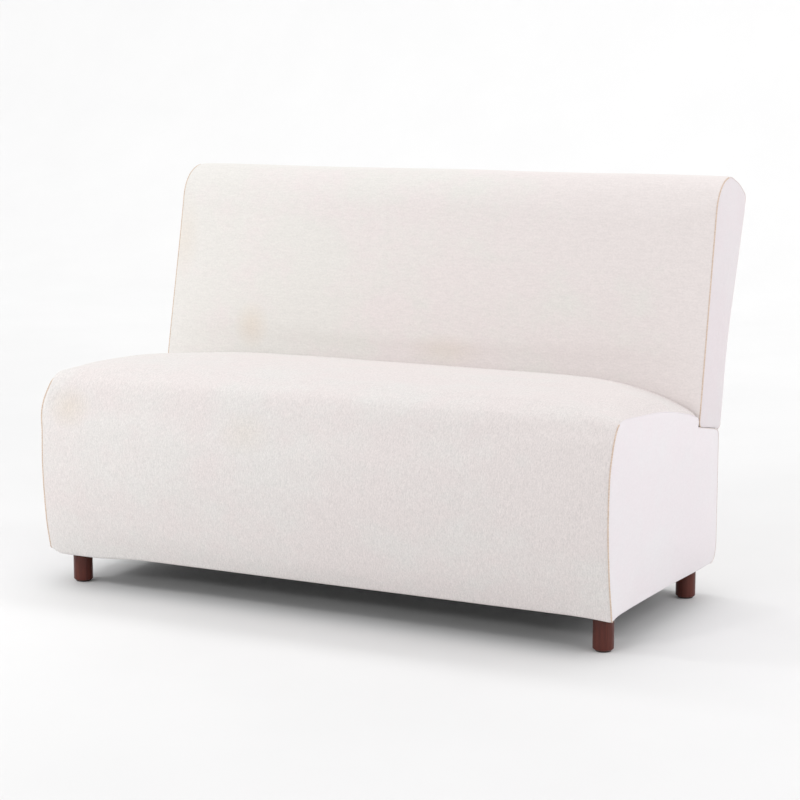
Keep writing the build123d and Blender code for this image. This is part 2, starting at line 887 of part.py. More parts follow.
# Ledge cover, cut out round the flanges
with BuildPart() as ledge_cover:
    with BuildSketch(ledge):
        with Locations((0, ledge_middle)):
            Rectangle(2 * panel_out, ledge_rear - ledge_gap)
        with Locations((-post_x, post_mid), (post_x, post_mid)):
            Rectangle(flange_width + 2 * fit, flange_depth + 2 * fit, mode=Mode.SUBTRACT)
    extrude(amount=-cloth)
ledge_cover.part.label = "ledge_cover"
export_step(ledge_cover.part, "parts/ledge_cover.step")


def socket_block_outline():
    """Draw the outline of a socket block, between the inner rail and the rear rail."""
    Polyline(
        (inner_rail_rear, ledge_z - socket_block_drop),
        (inner_rail_rear, ledge_line(inner_rail_rear, ledge_under)),
        (rear_rail_front, ledge_line(rear_rail_front, ledge_under)),
        (rear_rail_front, ledge_z - socket_block_drop),
        close=True,
    )


# Hardwood blocks with a slanting mortise for each sleeve
block_half = sleeve_width / 2 + socket_block_margin
with BuildPart() as socket_block_left:
    with BuildSketch(side.offset(-post_x)):
        with BuildLine():
            socket_block_outline()
        make_face()
    extrude(amount=block_half, both=True)
    with BuildSketch(ledge):
        with Locations((-post_x, post_mid)):
            Rectangle(sleeve_width + 2 * fit, sleeve_depth + 2 * fit)
    extrude(amount=-2 * post_reach, mode=Mode.SUBTRACT)
socket_block_left.part.label = "socket_block_left"
export_step(socket_block_left.part, "parts/socket_block_left.step")

with BuildPart() as socket_block_right:
    with BuildSketch(side.offset(post_x)):
        with BuildLine():
            socket_block_outline()
        make_face()
    extrude(amount=block_half, both=True)
    with BuildSketch(ledge):
        with Locations((post_x, post_mid)):
            Rectangle(sleeve_width + 2 * fit, sleeve_depth + 2 * fit)
    extrude(amount=-2 * post_reach, mode=Mode.SUBTRACT)
socket_block_right.part.label = "socket_block_right"
export_step(socket_block_right.part, "parts/socket_block_right.step")

# Bolts that hold the posts: low ones from the front, high ones from the rear
low_bolt = cloth + rail_height / 2
high_bolt = post_rise - mid_rail_height / 2
low_places = [(x, low_bolt) for x in post_places]
high_places = [(x, high_bolt) for x in post_places]
low_head = rail_front + bolt_head_height
high_head = post_rear + board - bolt_head_height
shank_low = post_rear + nut_height + bolt_stub - low_head
shank_high = high_head - post_front + nut_height + bolt_stub
with BuildPart() as post_bolts:
    with BuildSketch(back_face.offset(-low_head)):
        with Locations(*low_places):
            Circle(bolt_head / 2)
    extrude(amount=bolt_head_height)
    with BuildSketch(back_face.offset(-low_head)):
        with Locations(*low_places):
            Circle(bolt_diameter / 2)
    extrude(amount=-shank_low)
    with BuildSketch(back_face.offset(-high_head)):
        with Locations(*high_places):
            Circle(bolt_head / 2)
    extrude(amount=-bolt_head_height)
    with BuildSketch(back_face.offset(-high_head)):
        with Locations(*high_places):
            Circle(bolt_diameter / 2)
    extrude(amount=shank_high)
post_bolts.part.label = "post_bolts"
export_step(post_bolts.part, "parts/post_bolts.step")

# Nuts on those bolts
with BuildPart() as post_nuts:
    with BuildSketch(back_face.offset(-post_rear)):
        with Locations(*low_places):
            RegularPolygon(nut_flats / 2, 6, major_radius=False)
            Circle(bolt_diameter / 2 + bore_fit, mode=Mode.SUBTRACT)
    extrude(amount=-nut_height)
    with BuildSketch(back_face.offset(-post_front)):
        with Locations(*high_places):
            RegularPolygon(nut_flats / 2, 6, major_radius=False)
            Circle(bolt_diameter / 2 + bore_fit, mode=Mode.SUBTRACT)
    extrude(amount=nut_height)
post_nuts.part.label = "post_nuts"
export_step(post_nuts.part, "parts/post_nuts.step")

# Bores for the post bolts and their heads
with BuildPart() as bolt_bores:
    with BuildSketch(back_face.offset(-low_head - fit)):
        with Locations(*low_places):
            Circle(bolt_head / 2 + bore_fit)
    extrude(amount=bolt_head_height + fit)
    with BuildSketch(back_face.offset(-low_head)):
        with Locations(*low_places):
            Circle(bolt_diameter / 2 + bore_fit)
    extrude(amount=-shank_low)
    with BuildSketch(back_face.offset(-high_head + fit)):
        with Locations(*high_places):
            Circle(bolt_head / 2 + bore_fit)
    extrude(amount=-bolt_head_height - fit)
    with BuildSketch(back_face.offset(-high_head)):
        with Locations(*high_places):
            Circle(bolt_diameter / 2 + bore_fit)
    extrude(amount=shank_high)


def post_outline(x):
    """Draw the section of a post tube."""
    with Locations((x, post_mid)):
        RectangleRounded(post_width, post_depth, 2 * post_wall)
        Rectangle(post_width - 2 * post_wall, post_depth - 2 * post_wall, mode=Mode.SUBTRACT)


# Steel posts of the back
with BuildPart() as back_post_left:
    with BuildSketch(ledge.offset(-post_reach)):
        post_outline(-post_x)
    extrude(amount=post_reach + post_rise)
    add(bolt_bores.part, mode=Mode.SUBTRACT)
back_post_left.part.label = "back_post_left"
export_step(back_post_left.part, "parts/back_post_left.step")

with BuildPart() as back_post_right:
    with BuildSketch(ledge.offset(-post_reach)):
        post_outline(post_x)
    extrude(amount=post_reach + post_rise)
    add(bolt_bores.part, mode=Mode.SUBTRACT)
back_post_right.part.label = "back_post_right"
export_step(back_post_right.part, "parts/back_post_right.step")

# Lower rail in front of the posts, standing on the bottom cover
with BuildPart() as back_lower_rail:
    with BuildSketch(back_face.offset(-rail_front)):
        with Locations((0, cloth + rail_height / 2)):
            Rectangle(2 * stile_in, rail_height)
    extrude(amount=-board)
    add(bolt_bores.part, mode=Mode.SUBTRACT)
back_lower_rail.part.label = "back_lower_rail"
export_step(back_lower_rail.part, "parts/back_lower_rail.step")

# Middle rail behind the posts
with BuildPart() as back_mid_rail:
    with BuildSketch(back_face.offset(-post_rear)):
        with Locations((0, high_bolt)):
            Rectangle(2 * stile_in, mid_rail_height)
    extrude(amount=-board)
    add(bolt_bores.part, mode=Mode.SUBTRACT)
back_mid_rail.part.label = "back_mid_rail"
export_step(back_mid_rail.part, "parts/back_mid_rail.step")

# Upper rail at the top of the webbing
with BuildPart() as back_upper_rail:
    with BuildSketch(back_face.offset(-rail_front)):
        with Locations((0, cap_bottom - rail_height / 2)):
            Rectangle(2 * stile_in, rail_height)
    extrude(amount=-board)
back_upper_rail.part.label = "back_upper_rail"
export_step(back_upper_rail.part, "parts/back_upper_rail.step")


def stile_outline(top):
    """Draw the outline of a stile up to a height."""
    inner = cloth + back_board
    slope = tan(radians(back_flare))
    Polyline(
        (strap_front, cloth),
        (strap_front, top),
        (back_foot_depth - inner + (top - back_kink) * slope, top),
        (back_foot_depth - inner, back_kink),
        (back_foot_depth - inner, cloth),
        close=True,
    )


# Stiles at the two ends of the back
with BuildPart() as back_stile_left:
    with BuildSketch(back_side.offset(-stile_out)):
        with BuildLine():
            stile_outline(cap_bottom)
        make_face()
    extrude(amount=board)
back_stile_left.part.label = "back_stile_left"
export_step(back_stile_left.part, "parts/back_stile_left.step")

with BuildPart() as back_stile_right:
    with BuildSketch(back_side.offset(stile_out)):
        with BuildLine():
            stile_outline(cap_bottom)
        make_face()
    extrude(amount=-board)
back_stile_right.part.label = "back_stile_right"
export_step(back_stile_right.part, "parts/back_stile_right.step")

# Cap board over the stiles and the upper rail
cap_rear = back_foot_depth - cloth - back_board + (cap_bottom - back_kink) * tan(radians(back_flare))
with BuildPart() as back_cap_board:
    with BuildSketch(ledge.offset(cap_bottom)):
        with Locations((0, (strap_front + cap_rear) / 2)):
            Rectangle(2 * stile_out, cap_rear - strap_front)
    extrude(amount=board)
back_cap_board.part.label = "back_cap_board"
export_step(back_cap_board.part, "parts/back_cap_board.step")

# Thin board behind the stiles, bent at the kink
with BuildPart() as back_rear_board:
    with BuildSketch(back_side):
        with BuildLine():
            rear_strip(cloth, cloth + back_board, cloth, cap_top)
        make_face()
    extrude(amount=stile_out, both=True)
back_rear_board.part.label = "back_rear_board"
export_step(back_rear_board.part, "parts/back_rear_board.step")

# Elastic straps from the lower rail to the upper rail
with BuildPart() as back_webbing:
    with BuildSketch(back_face.offset(-rail_front)):
        with Locations(*[(x, (2 * cloth + cap_bottom) / 2) for x in strap_places]):
            Rectangle(strap_width, cap_bottom - 4 * cloth)
    extrude(amount=strap_thickness)
back_webbing.part.label = "back_webbing"
export_step(back_webbing.part, "parts/back_webbing.step")

# Space that the cloth of the back encloses, and the foam a little inside it
with BuildPart() as back_hollow:
    for share in back_shares:
        with BuildSketch(back_side.offset(share * (back_half + cloth))):
            with BuildLine():
                back_section(share, cloth)
            make_face()
    loft()

with BuildPart() as back_foam:
    for share in back_shares:
        with BuildSketch(back_side.offset(share * (back_half - fit))):
            with BuildLine():
                back_section(share, cloth + fit)
            make_face()
    loft()
    with BuildSketch(back_side):
        with Locations((strap_front + back_roll, cap_top - back_straight)):
            Rectangle(2 * back_roll, 2 * back_straight)
        with Locations((cap_rear, cap_top - back_straight)):
            Rectangle(2 * back_roll, 2 * back_straight)
    extrude(amount=back_width, both=True, mode=Mode.SUBTRACT)
back_foam.part.label = "back_foam"
export_step(back_foam.part, "parts/back_foam.step")

# Front and top cover of the back, from its foot over the roll to the rear top edge
with BuildPart() as back_cover:
    for share in back_shares:
        with BuildSketch(back_side.offset(share * back_half)):
            with BuildLine():
                back_section(share, 0)
            make_face()
    loft()
    add(back_hollow.part, mode=Mode.SUBTRACT)
    with BuildSketch(back_side):
        with BuildLine():
            Polyline(
                (back_foot_round, -back_straight),
                (back_foot_round, rear_top.Y),
                (2 * back_straight, rear_top.Y),
                (2 * back_straight, -back_straight),
                close=True,
            )
        make_face()
    extrude(amount=back_width, both=True, mode=Mode.SUBTRACT)
back_cover.part.label = "back_cover"
export_step(back_cover.part, "parts/back_cover.step")

# Side pads of the back
with BuildPart() as back_side_pad_left:
    with BuildSketch(back_side.offset(-back_half)):
        with BuildLine():
            stile_outline(cap_top)
        make_face()
    extrude(amount=back_pad)
back_side_pad_left.part.label = "back_side_pad_left"
export_step(back_side_pad_left.part, "parts/back_side_pad_left.step")

with BuildPart() as back_side_pad_right:
    with BuildSketch(back_side.offset(back_half)):
        with BuildLine():
            stile_outline(cap_top)
        make_face()
    extrude(amount=-back_pad)
back_side_pad_right.part.label = "back_side_pad_right"
export_step(back_side_pad_right.part, "parts/back_side_pad_right.step")

# Side covers of the back
with BuildPart() as back_side_cover_left:
    with BuildSketch(back_side.offset(-back_half)):
        with BuildLine():
            back_section(1, 0)
        make_face()
    extrude(amount=-cloth)
back_side_cover_left.part.label = "back_side_cover_left"
export_step(back_side_cover_left.part, "parts/back_side_cover_left.step")

with BuildPart() as back_side_cover_right:
    with BuildSketch(back_side.offset(back_half)):
        with BuildLine():
            back_section(1, 0)
        make_face()
    extrude(amount=cloth)
back_side_cover_right.part.label = "back_side_cover_right"
export_step(back_side_cover_right.part, "parts/back_side_cover_right.step")

# Rear cover of the back
with BuildPart() as back_rear_cover:
    with BuildSketch(back_side):
        with BuildLine():
            rear_strip(0, cloth, 0, rear_top.Y)
        make_face()
    extrude(amount=back_half, both=True)
back_rear_cover.part.label = "back_rear_cover"
export_step(back_rear_cover.part, "parts/back_rear_cover.step")

# Bottom cover of the back, with a slot for each post
with BuildPart() as back_bottom_cover:
    with BuildSketch(ledge):
        with Locations((0, (back_foot_round + fit + back_foot_depth - cloth) / 2)):
            Rectangle(2 * back_half, back_foot_depth - cloth - back_foot_round - fit)
        with Locations((-post_x, post_mid), (post_x, post_mid)):
            Rectangle(post_width + 2 * fit, post_depth + 2 * fit, mode=Mode.SUBTRACT)
    extrude(amount=cloth)
back_bottom_cover.part.label = "back_bottom_cover"
export_step(back_bottom_cover.part, "parts/back_bottom_cover.step")
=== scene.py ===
import json
import math
from collections import namedtuple

import bmesh
import bpy
import numpy as np
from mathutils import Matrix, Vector, noise


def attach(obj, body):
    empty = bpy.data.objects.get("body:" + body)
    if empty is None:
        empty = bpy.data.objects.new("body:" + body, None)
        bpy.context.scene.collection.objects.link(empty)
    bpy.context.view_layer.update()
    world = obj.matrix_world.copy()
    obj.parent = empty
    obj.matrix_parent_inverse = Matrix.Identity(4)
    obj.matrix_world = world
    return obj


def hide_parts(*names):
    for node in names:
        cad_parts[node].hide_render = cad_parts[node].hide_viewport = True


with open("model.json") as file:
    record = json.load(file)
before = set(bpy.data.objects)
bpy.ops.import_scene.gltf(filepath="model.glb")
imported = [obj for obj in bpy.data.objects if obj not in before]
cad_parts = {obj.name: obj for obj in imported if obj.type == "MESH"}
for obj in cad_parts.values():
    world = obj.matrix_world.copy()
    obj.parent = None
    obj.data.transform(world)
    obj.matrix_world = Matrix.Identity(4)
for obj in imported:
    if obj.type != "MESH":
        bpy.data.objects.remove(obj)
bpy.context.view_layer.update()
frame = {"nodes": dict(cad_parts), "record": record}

scene = bpy.context.scene
MM = 0.001

# Sizes shared with the solids, in mm
DEPTH = 736.245
FRONT_Y = -DEPTH / 2
SEAT_HALF = 626.0
BASE_DEPTH = 594.0
UNDERSIDE = 75.0
# Depth and height of the line where the front of the back meets the ledge, and the back's lean
BACK_SET = 475.0
LEDGE_Z = 364.0
LEAN = math.radians(10.2)
COS, SIN, TAN = math.cos(LEAN), math.sin(LEAN), math.tan(LEAN)
# The back: half width, depth of its foot, heights of the rear kink and of the roll, radius of the roll
BACK_HALF = 630.0
BACK_FOOT = 132.0
BACK_KINK = 175.0
BACK_STRAIGHT = 429.0
BACK_ROLL = 82.0
# Middle of a post across the width and across the back
POST_X = 463.59
POST_MID = 67.5


# Curves

SPLINE_STEPS = 24


def smooth_path(points, count):
    """Points evenly spaced along a centripetal spline through the given points."""
    p = np.array(points, float)
    p = np.vstack([2 * p[0] - p[1], p, 2 * p[-1] - p[-2]])
    dense = []
    for i in range(1, len(p) - 2):
        knots = [0.0]
        for a, b in ((i - 1, i), (i, i + 1), (i + 1, i + 2)):
            knots.append(knots[-1] + max(1e-6, np.linalg.norm(p[b] - p[a])) ** 0.5)
        t0, t1, t2, t3 = knots
        for t in np.linspace(t1, t2, SPLINE_STEPS, endpoint=False):
            a1 = (t1 - t) / (t1 - t0) * p[i - 1] + (t - t0) / (t1 - t0) * p[i]
            a2 = (t2 - t) / (t2 - t1) * p[i] + (t - t1) / (t2 - t1) * p[i + 1]
            a3 = (t3 - t) / (t3 - t2) * p[i + 1] + (t - t2) / (t3 - t2) * p[i + 2]
            b1 = (t2 - t) / (t2 - t0) * a1 + (t - t0) / (t2 - t0) * a2
            b2 = (t3 - t) / (t3 - t1) * a2 + (t - t1) / (t3 - t1) * a3
            dense.append((t2 - t) / (t2 - t1) * b1 + (t - t1) / (t2 - t1) * b2)
    dense.append(p[-2])
    return even(np.array(dense), count)


def even(path, count):
    """Points evenly spaced along a chain of straight runs."""
    path = np.array(path, float)
    run = np.concatenate([[0], np.cumsum(np.linalg.norm(np.diff(path, axis=0), axis=1))])
    at = np.linspace(0, run[-1], count)
    return np.column_stack([np.interp(at, run, path[:, k]) for k in range(path.shape[1])])


def arc(centre, radius, start, end, count):
    """Points along an arc, angles in degrees."""
    angles = np.radians(np.linspace(start, end, count))
    return np.column_stack([centre[0] + radius * np.cos(angles), centre[1] + radius * np.sin(angles)])


def ease(t):
    """Smooth step from 0 to 1."""
    t = min(1.0, max(0.0, t))
    return t * t * (3 - 2 * t)


def bump(value, middle, width):
    """Soft bump of height 1 around a middle value."""
    return math.exp(-(((value - middle) / width) ** 2))


def joined(parts):
    """One loop from named stretches, with the name of the stretch that each point lies on."""
    return np.vstack([points for _, points in parts]), [name for name, points in parts for _ in points]


# Shares of a rounding: where two units lie close, and on top
CLOSE_INSET = 0.05
TOP_INSET = 1.5
INSET_BLENDS = 6


def inset_loop(loop, amount, names, close):
    """A closed loop moved inwards: more on top, and hardly at all where two units lie close."""
    ahead, behind = np.roll(loop, -1, axis=0), np.roll(loop, 1, axis=0)
    tangent = ahead - behind
    tangent /= np.maximum(1e-9, np.linalg.norm(tangent, axis=1))[:, None]
    normal = np.column_stack([tangent[:, 1], -tangent[:, 0]])
    area = np.sum(loop[:, 0] * ahead[:, 1] - ahead[:, 0] * loop[:, 1])
    shares = {"top": TOP_INSET, **dict.fromkeys(close, CLOSE_INSET)}
    share = np.array([shares.get(name, 1.0) for name in names])
    for _ in range(INSET_BLENDS):
        share = (np.roll(share, 1) + 2 * share + np.roll(share, -1)) / 4
    return loop - normal * amount * share[:, None] * (1 if area > 0 else -1)


# Places

def back_line(z):
    """Depth of the front of the back at a height."""
    return BACK_SET + (z - LEDGE_Z) * TAN


def from_back(u, v):
    """Depth and height of a point that is given across and along the back."""
    return BACK_SET + u * COS + v * SIN, LEDGE_Z - u * SIN + v * COS


def place(x, d, z):
    """Point in the frame, in metres, from its mm across the width, from the front and from the floor."""
    return (x * MM, (FRONT_Y + d) * MM, z * MM)


# Cross-sections of the seat unit, in mm

# Top: depth, height at the ends, height in the middle
SEAT_TOP = [(80, 440, 454), (150, 437, 459.5), (277, 427, 463), (400, 406, 456), (446, 395, 451)]
# Front roll: depth and share of the rise from its start to the top, plain and at the fuller left end
SEAT_ROLL = [(5, 0.0), (12, 0.245), (28, 0.656), (48, 0.92)]
SEAT_ROLL_FULL = [(4, 0.06), (8, 0.36), (20, 0.76), (42, 0.965)]
# Height where the roll starts, greatest depth there, and depth where the roll ends
ROLL_START = 350
ROLL_FRONT = 60
ROLL_END = 84
# Where the left end starts to grow fuller, and how much higher its top is
LEFT_START = 420
LEFT_RISE = 9
# How far the front is drawn in at the ends and in the middle
DRAW_END, DRAW_MIDDLE = 4.0, 2.5
# Depth and radius of the hem that the front turns in
HEM_DEPTH = 28.0
HEM_RADIUS = 8
# Rear edge of the top: height at the ends, rise to the middle, gap to the back
TUCK_LOW, TUCK_RISE, TUCK_GAP = 388, 58, 2.0
# Ledge: places across the back before and behind a post's well, and level along the back
LEDGE_FRONT, LEDGE_REAR = [1.0, 12.0, 25.0, 40.0], [92.0, 98.0, 104.0]
LEDGE_V = -0.4
# Well of a post: half sizes across the back and across the width, rim, and open rows of the ledge
WELL_U, WELL_X, WELL_RIM = 15.0, 24.5, 1.5
WELL_ROWS = (len(LEDGE_FRONT) + 1, len(LEDGE_FRONT) + 2)
# Upper and lower rear corners: radius in the middle and at the ends, and the width over which it grows
REAR_CORNER, REAR_CORNER_END = 4.5, 13.0
HEEL, HEEL_END = 5.0, 32.0
SEAT_END_ROUND = 14


def seat_curve(x):
    """The cloth from the hem over the front roll to the rear edge of the top, and where that edge is."""
    share = min(1.0, abs(x) / SEAT_HALF)
    left = ease((-x - LEFT_START) / (SEAT_HALF - LEFT_START))
    full = (1 - share ** 12) ** 0.6
    crown = 1 - share ** 7
    draw = DRAW_END * (1 - crown) + DRAW_MIDDLE * crown
    front = [(HEM_DEPTH, UNDERSIDE + HEM_RADIUS), (17, 130), (7.5 + 0.4 * draw, 185)]
    front += [(draw, 245), (draw + 0.6, 305)]
    tops = []
    for d, low, high in SEAT_TOP:
        rear = ease((d - 200) / 240)
        low += LEFT_RISE * left * (1 - rear)
        tops.append((d, low + (full * (1 - rear) + crown * rear) * (high - low)))
    rise = tops[0][1] - ROLL_START
    roll = []
    for (d, f), (d_full, f_full) in zip(SEAT_ROLL, SEAT_ROLL_FULL):
        f += left * (f_full - f)
        roll.append((d + left * (d_full - d) + draw * (1 - f), ROLL_START + rise * f))
    rear_z = TUCK_LOW + crown * TUCK_RISE
    rear_d = back_line(rear_z) - TUCK_GAP
    curve = smooth_path(front + roll + tops + [(rear_d - 15, rear_z + 0.5)], 400)
    return curve, rear_d, rear_z


def seat_tuck(rear_d, rear_z):
    """The cloth from the rear edge of the top down between the seat and the back."""
    edge, shoulder = (rear_d - 15, rear_z + 0.5), (rear_d - 4.5, rear_z - 4)
    turn = (rear_d - 0.4, rear_z - 13)
    foot = (back_line(LEDGE_Z + 3) - 2.4, LEDGE_Z + 3)
    return np.vstack([smooth_path([edge, shoulder, turn], 6)[1:], even([turn, foot], 6)[1:]])


def well_lines(middle, half):
    """Places of the lines round a well: rim, edge, middle, edge, rim."""
    return [middle + e for e in (-half - WELL_RIM, -half, 0.0, half, half + WELL_RIM)]


def seat_rear(x):
    """Stretches of the cloth under and behind the back: ledge, rear with its two corners, underside."""
    end = ease((abs(x) - (SEAT_HALF - SEAT_END_ROUND)) / SEAT_END_ROUND)
    corner = REAR_CORNER + (REAR_CORNER_END - REAR_CORNER) * end
    heel = HEEL + (HEEL_END - HEEL) * end
    ledge_u = LEDGE_FRONT + well_lines(POST_MID, WELL_U) + LEDGE_REAR
    start = from_back((BASE_DEPTH - corner - BACK_SET) / COS, LEDGE_V)
    bend = (BASE_DEPTH - 0.32 * corner, start[1] - 0.31 * corner)
    top = (BASE_DEPTH - 0.3, start[1] - corner)
    low = UNDERSIDE + heel
    under = [(BASE_DEPTH - heel, UNDERSIDE), (HEM_DEPTH + HEM_RADIUS + 1, UNDERSIDE)]
    return [
        ("ledge", np.array([from_back(u, LEDGE_V) for u in ledge_u])),
        ("rear_top", smooth_path([start, bend, top], 5)),
        ("rear", even([top, (BASE_DEPTH + 0.4, 230), (BASE_DEPTH, low)], 22)[1:]),
        ("rear_hem", arc((BASE_DEPTH - heel, low), heel, 0, -90, 7)[1:]),
        ("under", even(under, 31)[1:]),
    ]


def seat_loop(x):
    """Closed cross-section of the seat unit, with the name of the part each point lies on."""
    curve, rear_d, rear_z = seat_curve(x)
    low = int(np.argmin(np.abs(curve[:, 1] - ROLL_START) + (curve[:, 0] > ROLL_FRONT) * 1e3))
    high = int(np.argmin(np.abs(curve[:, 0] - ROLL_END)))
    hem = arc((HEM_DEPTH + HEM_RADIUS, UNDERSIDE + HEM_RADIUS), HEM_RADIUS, 270, 180, 6)
    return joined([
        ("hem", hem[1:-1]),
        ("front", even(curve[: low + 1], 24)),
        ("roll", even(curve[low : high + 1], 13)[1:]),
        ("top", even(curve[high:], 35)[1:]),
        ("tuck", seat_tuck(rear_d, rear_z)),
        *seat_rear(x),
    ])


# Cross-sections of the back unit, across and along the back in mm

# Slope of the top and flare of the rear, in degrees, and radius of the corner between them
TOP_SLOPE = 14.0
REAR_FLARE = 9.2
TOP_CORNER = 22.0
# Fullness of the front and of the top at the middle of the width, and of the top between its edges
BACK_BULGE = 4.0
TOP_LIFT = 3.0
TOP_CROWN = 3.5
# Lower front corner, and lower rear corner in the middle and at the ends, with the width over which it grows
FOOT = 14.0
BACK_HEEL, BACK_HEEL_END = 4.5, 16.0
BACK_END_ROUND = 13


def back_loop(x):
    """Closed cross-section of the back unit, with the name of the part each point lies on."""
    crown = 1 - min(1.0, abs(x) / BACK_HALF) ** 6
    bulge = BACK_BULGE * crown
    lift = TOP_LIFT * crown
    end = ease((abs(x) - (BACK_HALF - BACK_END_ROUND)) / BACK_END_ROUND)
    heel = BACK_HEEL + (BACK_HEEL_END - BACK_HEEL) * end
    slope, flare = math.radians(TOP_SLOPE), math.radians(REAR_FLARE)
    normal = np.array([math.sin(slope), math.cos(slope)])
    along = np.array([math.cos(slope), -math.sin(slope)])
    rear_normal = np.array([math.cos(flare), -math.sin(flare)])
    kink = np.array([BACK_FOOT, BACK_KINK])
    roll_centre = np.array([BACK_ROLL, BACK_STRAIGHT])
    flat = roll_centre + normal * (BACK_ROLL - TOP_CORNER)
    flat_length = -(TOP_CORNER + (flat - kink).dot(rear_normal)) / along.dot(rear_normal)
    corner_centre = flat + along * flat_length
    rear_end = corner_centre + rear_normal * TOP_CORNER

    front = [(0.3, FOOT), (0.2, 60), (0.0, 105), (-0.6 * bulge, 170), (-bulge, 250), (-0.7 * bulge, 350)]
    front = smooth_path(front + [(0, BACK_STRAIGHT)], 34)
    roll = arc(roll_centre, BACK_ROLL, 180, 90 - TOP_SLOPE, 15)
    roll += np.outer(lift * np.linspace(0, 1, 15) ** 0.7, normal)
    top_front = roll_centre + normal * (BACK_ROLL + lift)
    top_rear = corner_centre + normal * (TOP_CORNER + 0.6 * lift)
    top = even([top_front, top_rear], 9)
    top += np.outer(TOP_CROWN * np.sin(np.linspace(0, math.pi, 9)) ** 0.8, normal)
    rear_top = arc(corner_centre, TOP_CORNER, 90 - TOP_SLOPE, -REAR_FLARE, 7)
    rear_top += np.outer(0.6 * lift * np.linspace(1, 0, 7), normal)
    rear = [rear_end, kink + (rear_end - kink) * 0.5, kink + (rear_end - kink) * 0.12]
    rear += [kink - np.array([0, 45]), (BACK_FOOT, 60), (BACK_FOOT - 0.5, heel)]
    return joined([
        ("foot", arc((FOOT, FOOT), FOOT - 0.3, 270, 180, 6)[1:-1]),
        ("front", front),
        ("roll", roll[1:]),
        ("top", top[1:]),
        ("rear_top", rear_top[1:]),
        ("rear", smooth_path(rear, 32)[1:]),
        ("heel", arc((BACK_FOOT - heel, heel), heel, 0, -90, 6)[1:]),
        ("under", even([(BACK_FOOT - heel, 0.2), (FOOT, 0.2)], 9)[1:]),
    ])


# Meshes

Unit = namedtuple("Unit", "obj columns names kind")
# Cross-sections, in mm from the end: the even ones start at the first, and the others lie nearer the seam
EVEN_START = 22
EVEN_COUNT = 97
NEAR_SEAM = (15, 10)
LEAST_GAP = 5
# Rounding into the side panel: distance from the end and inset of the cross-section
END_ROUNDING = ((6.0, 0.4), (3.0, 1.1), (1.0, 2.6))
# Rings of a side panel as shares of its outline, and how far it lies inside the end
SIDE_RINGS = [0.985, 0.965, 0.935, 0.89, 0.83, 0.76, 0.68, 0.59, 0.49, 0.38, 0.26, 0.13]
SIDE_INSIDE = 0.2
# Depth of a post's well, in metres
WELL_DEPTH = 0.196


def stations(half, extra=()):
    """Places along the width: close together at the seams, wider in between."""
    middle = np.linspace(-half + EVEN_START, half - EVEN_START, EVEN_COUNT)
    ends = [half - e for e in NEAR_SEAM]
    keep = [x for x in middle if all(abs(x - e) > LEAST_GAP for e in extra)]
    return np.array(sorted(keep + list(extra) + ends + [-e for e in ends]))


def wrap_faces(columns, names, wells):
    """Faces between neighbouring cross-sections, open over the wells, and the part each lies on."""
    count = len(names)
    faces, kind = [], []
    for i in range(len(columns) - 1):
        middle_x = (columns[i][0] + columns[i + 1][0]) / 2
        over_well = any(abs(middle_x - w) < WELL_X for w in wells)
        for j in range(count):
            if over_well and j - names.index("ledge") in WELL_ROWS:
                continue
            k = (j + 1) % count
            faces.append((i * count + j, i * count + k, (i + 1) * count + k, (i + 1) * count + j))
            kind.append(names[j])
    return faces, kind


def add_side(verts, faces, ring, base, hand, half, to_row, centre, bulge):
    """Add a side panel to the points and faces: rings that shrink towards a middle point."""
    count = len(ring)
    previous = base
    for share in SIDE_RINGS:
        start = len(verts)
        out = half - SIDE_INSIDE + bulge * (1 - share ** 8)
        verts += [to_row(hand * out, *(centre + (p - centre) * share)) for p in ring]
        for j in range(count):
            k = (j + 1) % count
            quad = (previous + j, previous + k, start + k, start + j)
            faces.append(quad if hand > 0 else quad[::-1])
        previous = start
    tip = len(verts)
    verts.append(to_row(hand * (half - SIDE_INSIDE + bulge), *centre))
    for j in range(count):
        tri = (previous + j, previous + (j + 1) % count, tip)
        faces.append(tri if hand > 0 else tri[::-1])


def sink_wells(mesh):
    """Give each opening walls and a floor, along the posts, and turn all faces outwards."""
    work = bmesh.new()
    work.from_mesh(mesh)
    rims = [e for e in work.edges if e.is_boundary]
    down = Vector((0, -SIN, -COS)) * WELL_DEPTH
    low = {v: work.verts.new(v.co + down) for v in dict.fromkeys(v for e in rims for v in e.verts)}
    for a, b in [e.verts for e in rims]:
        work.faces.new((a, b, low[b], low[a]))
    bmesh.ops.holes_fill(work, edges=[e for e in work.edges if e.is_boundary])
    bmesh.ops.recalc_face_normals(work, faces=work.faces)
    work.to_mesh(mesh)
    work.free()


def build_unit(name, loop_at, half, to_row, centre, bulge, close, extra=(), wells=()):
    """A closed upholstered unit: cross-sections along the width and a side panel at each end."""
    names = loop_at(0.0)[1]
    end_loop = loop_at(half)[0]
    rings = [(half - off, inset_loop(end_loop, amount, names, close)) for off, amount in END_ROUNDING]
    columns = [(-x, loop) for x, loop in rings[::-1]]
    columns += [(x, loop_at(x)[0]) for x in stations(half, extra)] + rings
    verts = [to_row(x, a, b) for x, loop in columns for a, b in loop]
    faces, kind = wrap_faces(columns, names, wells)
    for hand, at in ((-1, 0), (1, len(columns) - 1)):
        add_side(verts, faces, columns[at][1], at * len(names), hand, half, to_row, centre, bulge)
    kind += ["side"] * (len(faces) - len(kind))
    mesh = bpy.data.meshes.new(name)
    mesh.from_pydata(verts, [], faces)
    sink_wells(mesh)
    obj = bpy.data.objects.new(name, mesh)
    scene.collection.objects.link(obj)
    return Unit(obj, columns, names, kind)


# Fullness of the cloth and hang of the hems, in mm

# Depth in the middle of the seat, and the run over which fullness grows from there to the rear or the front
FULL_MIDDLE, FULL_RUN = 330, 240
# At the rear of both ends, and at the front of the left end: all over, low down, and below the roll
REAR_FULL = 6.0
LEFT_FULL, LEFT_LOW, LEFT_BUMP = 5.0, 3.0, 7.0
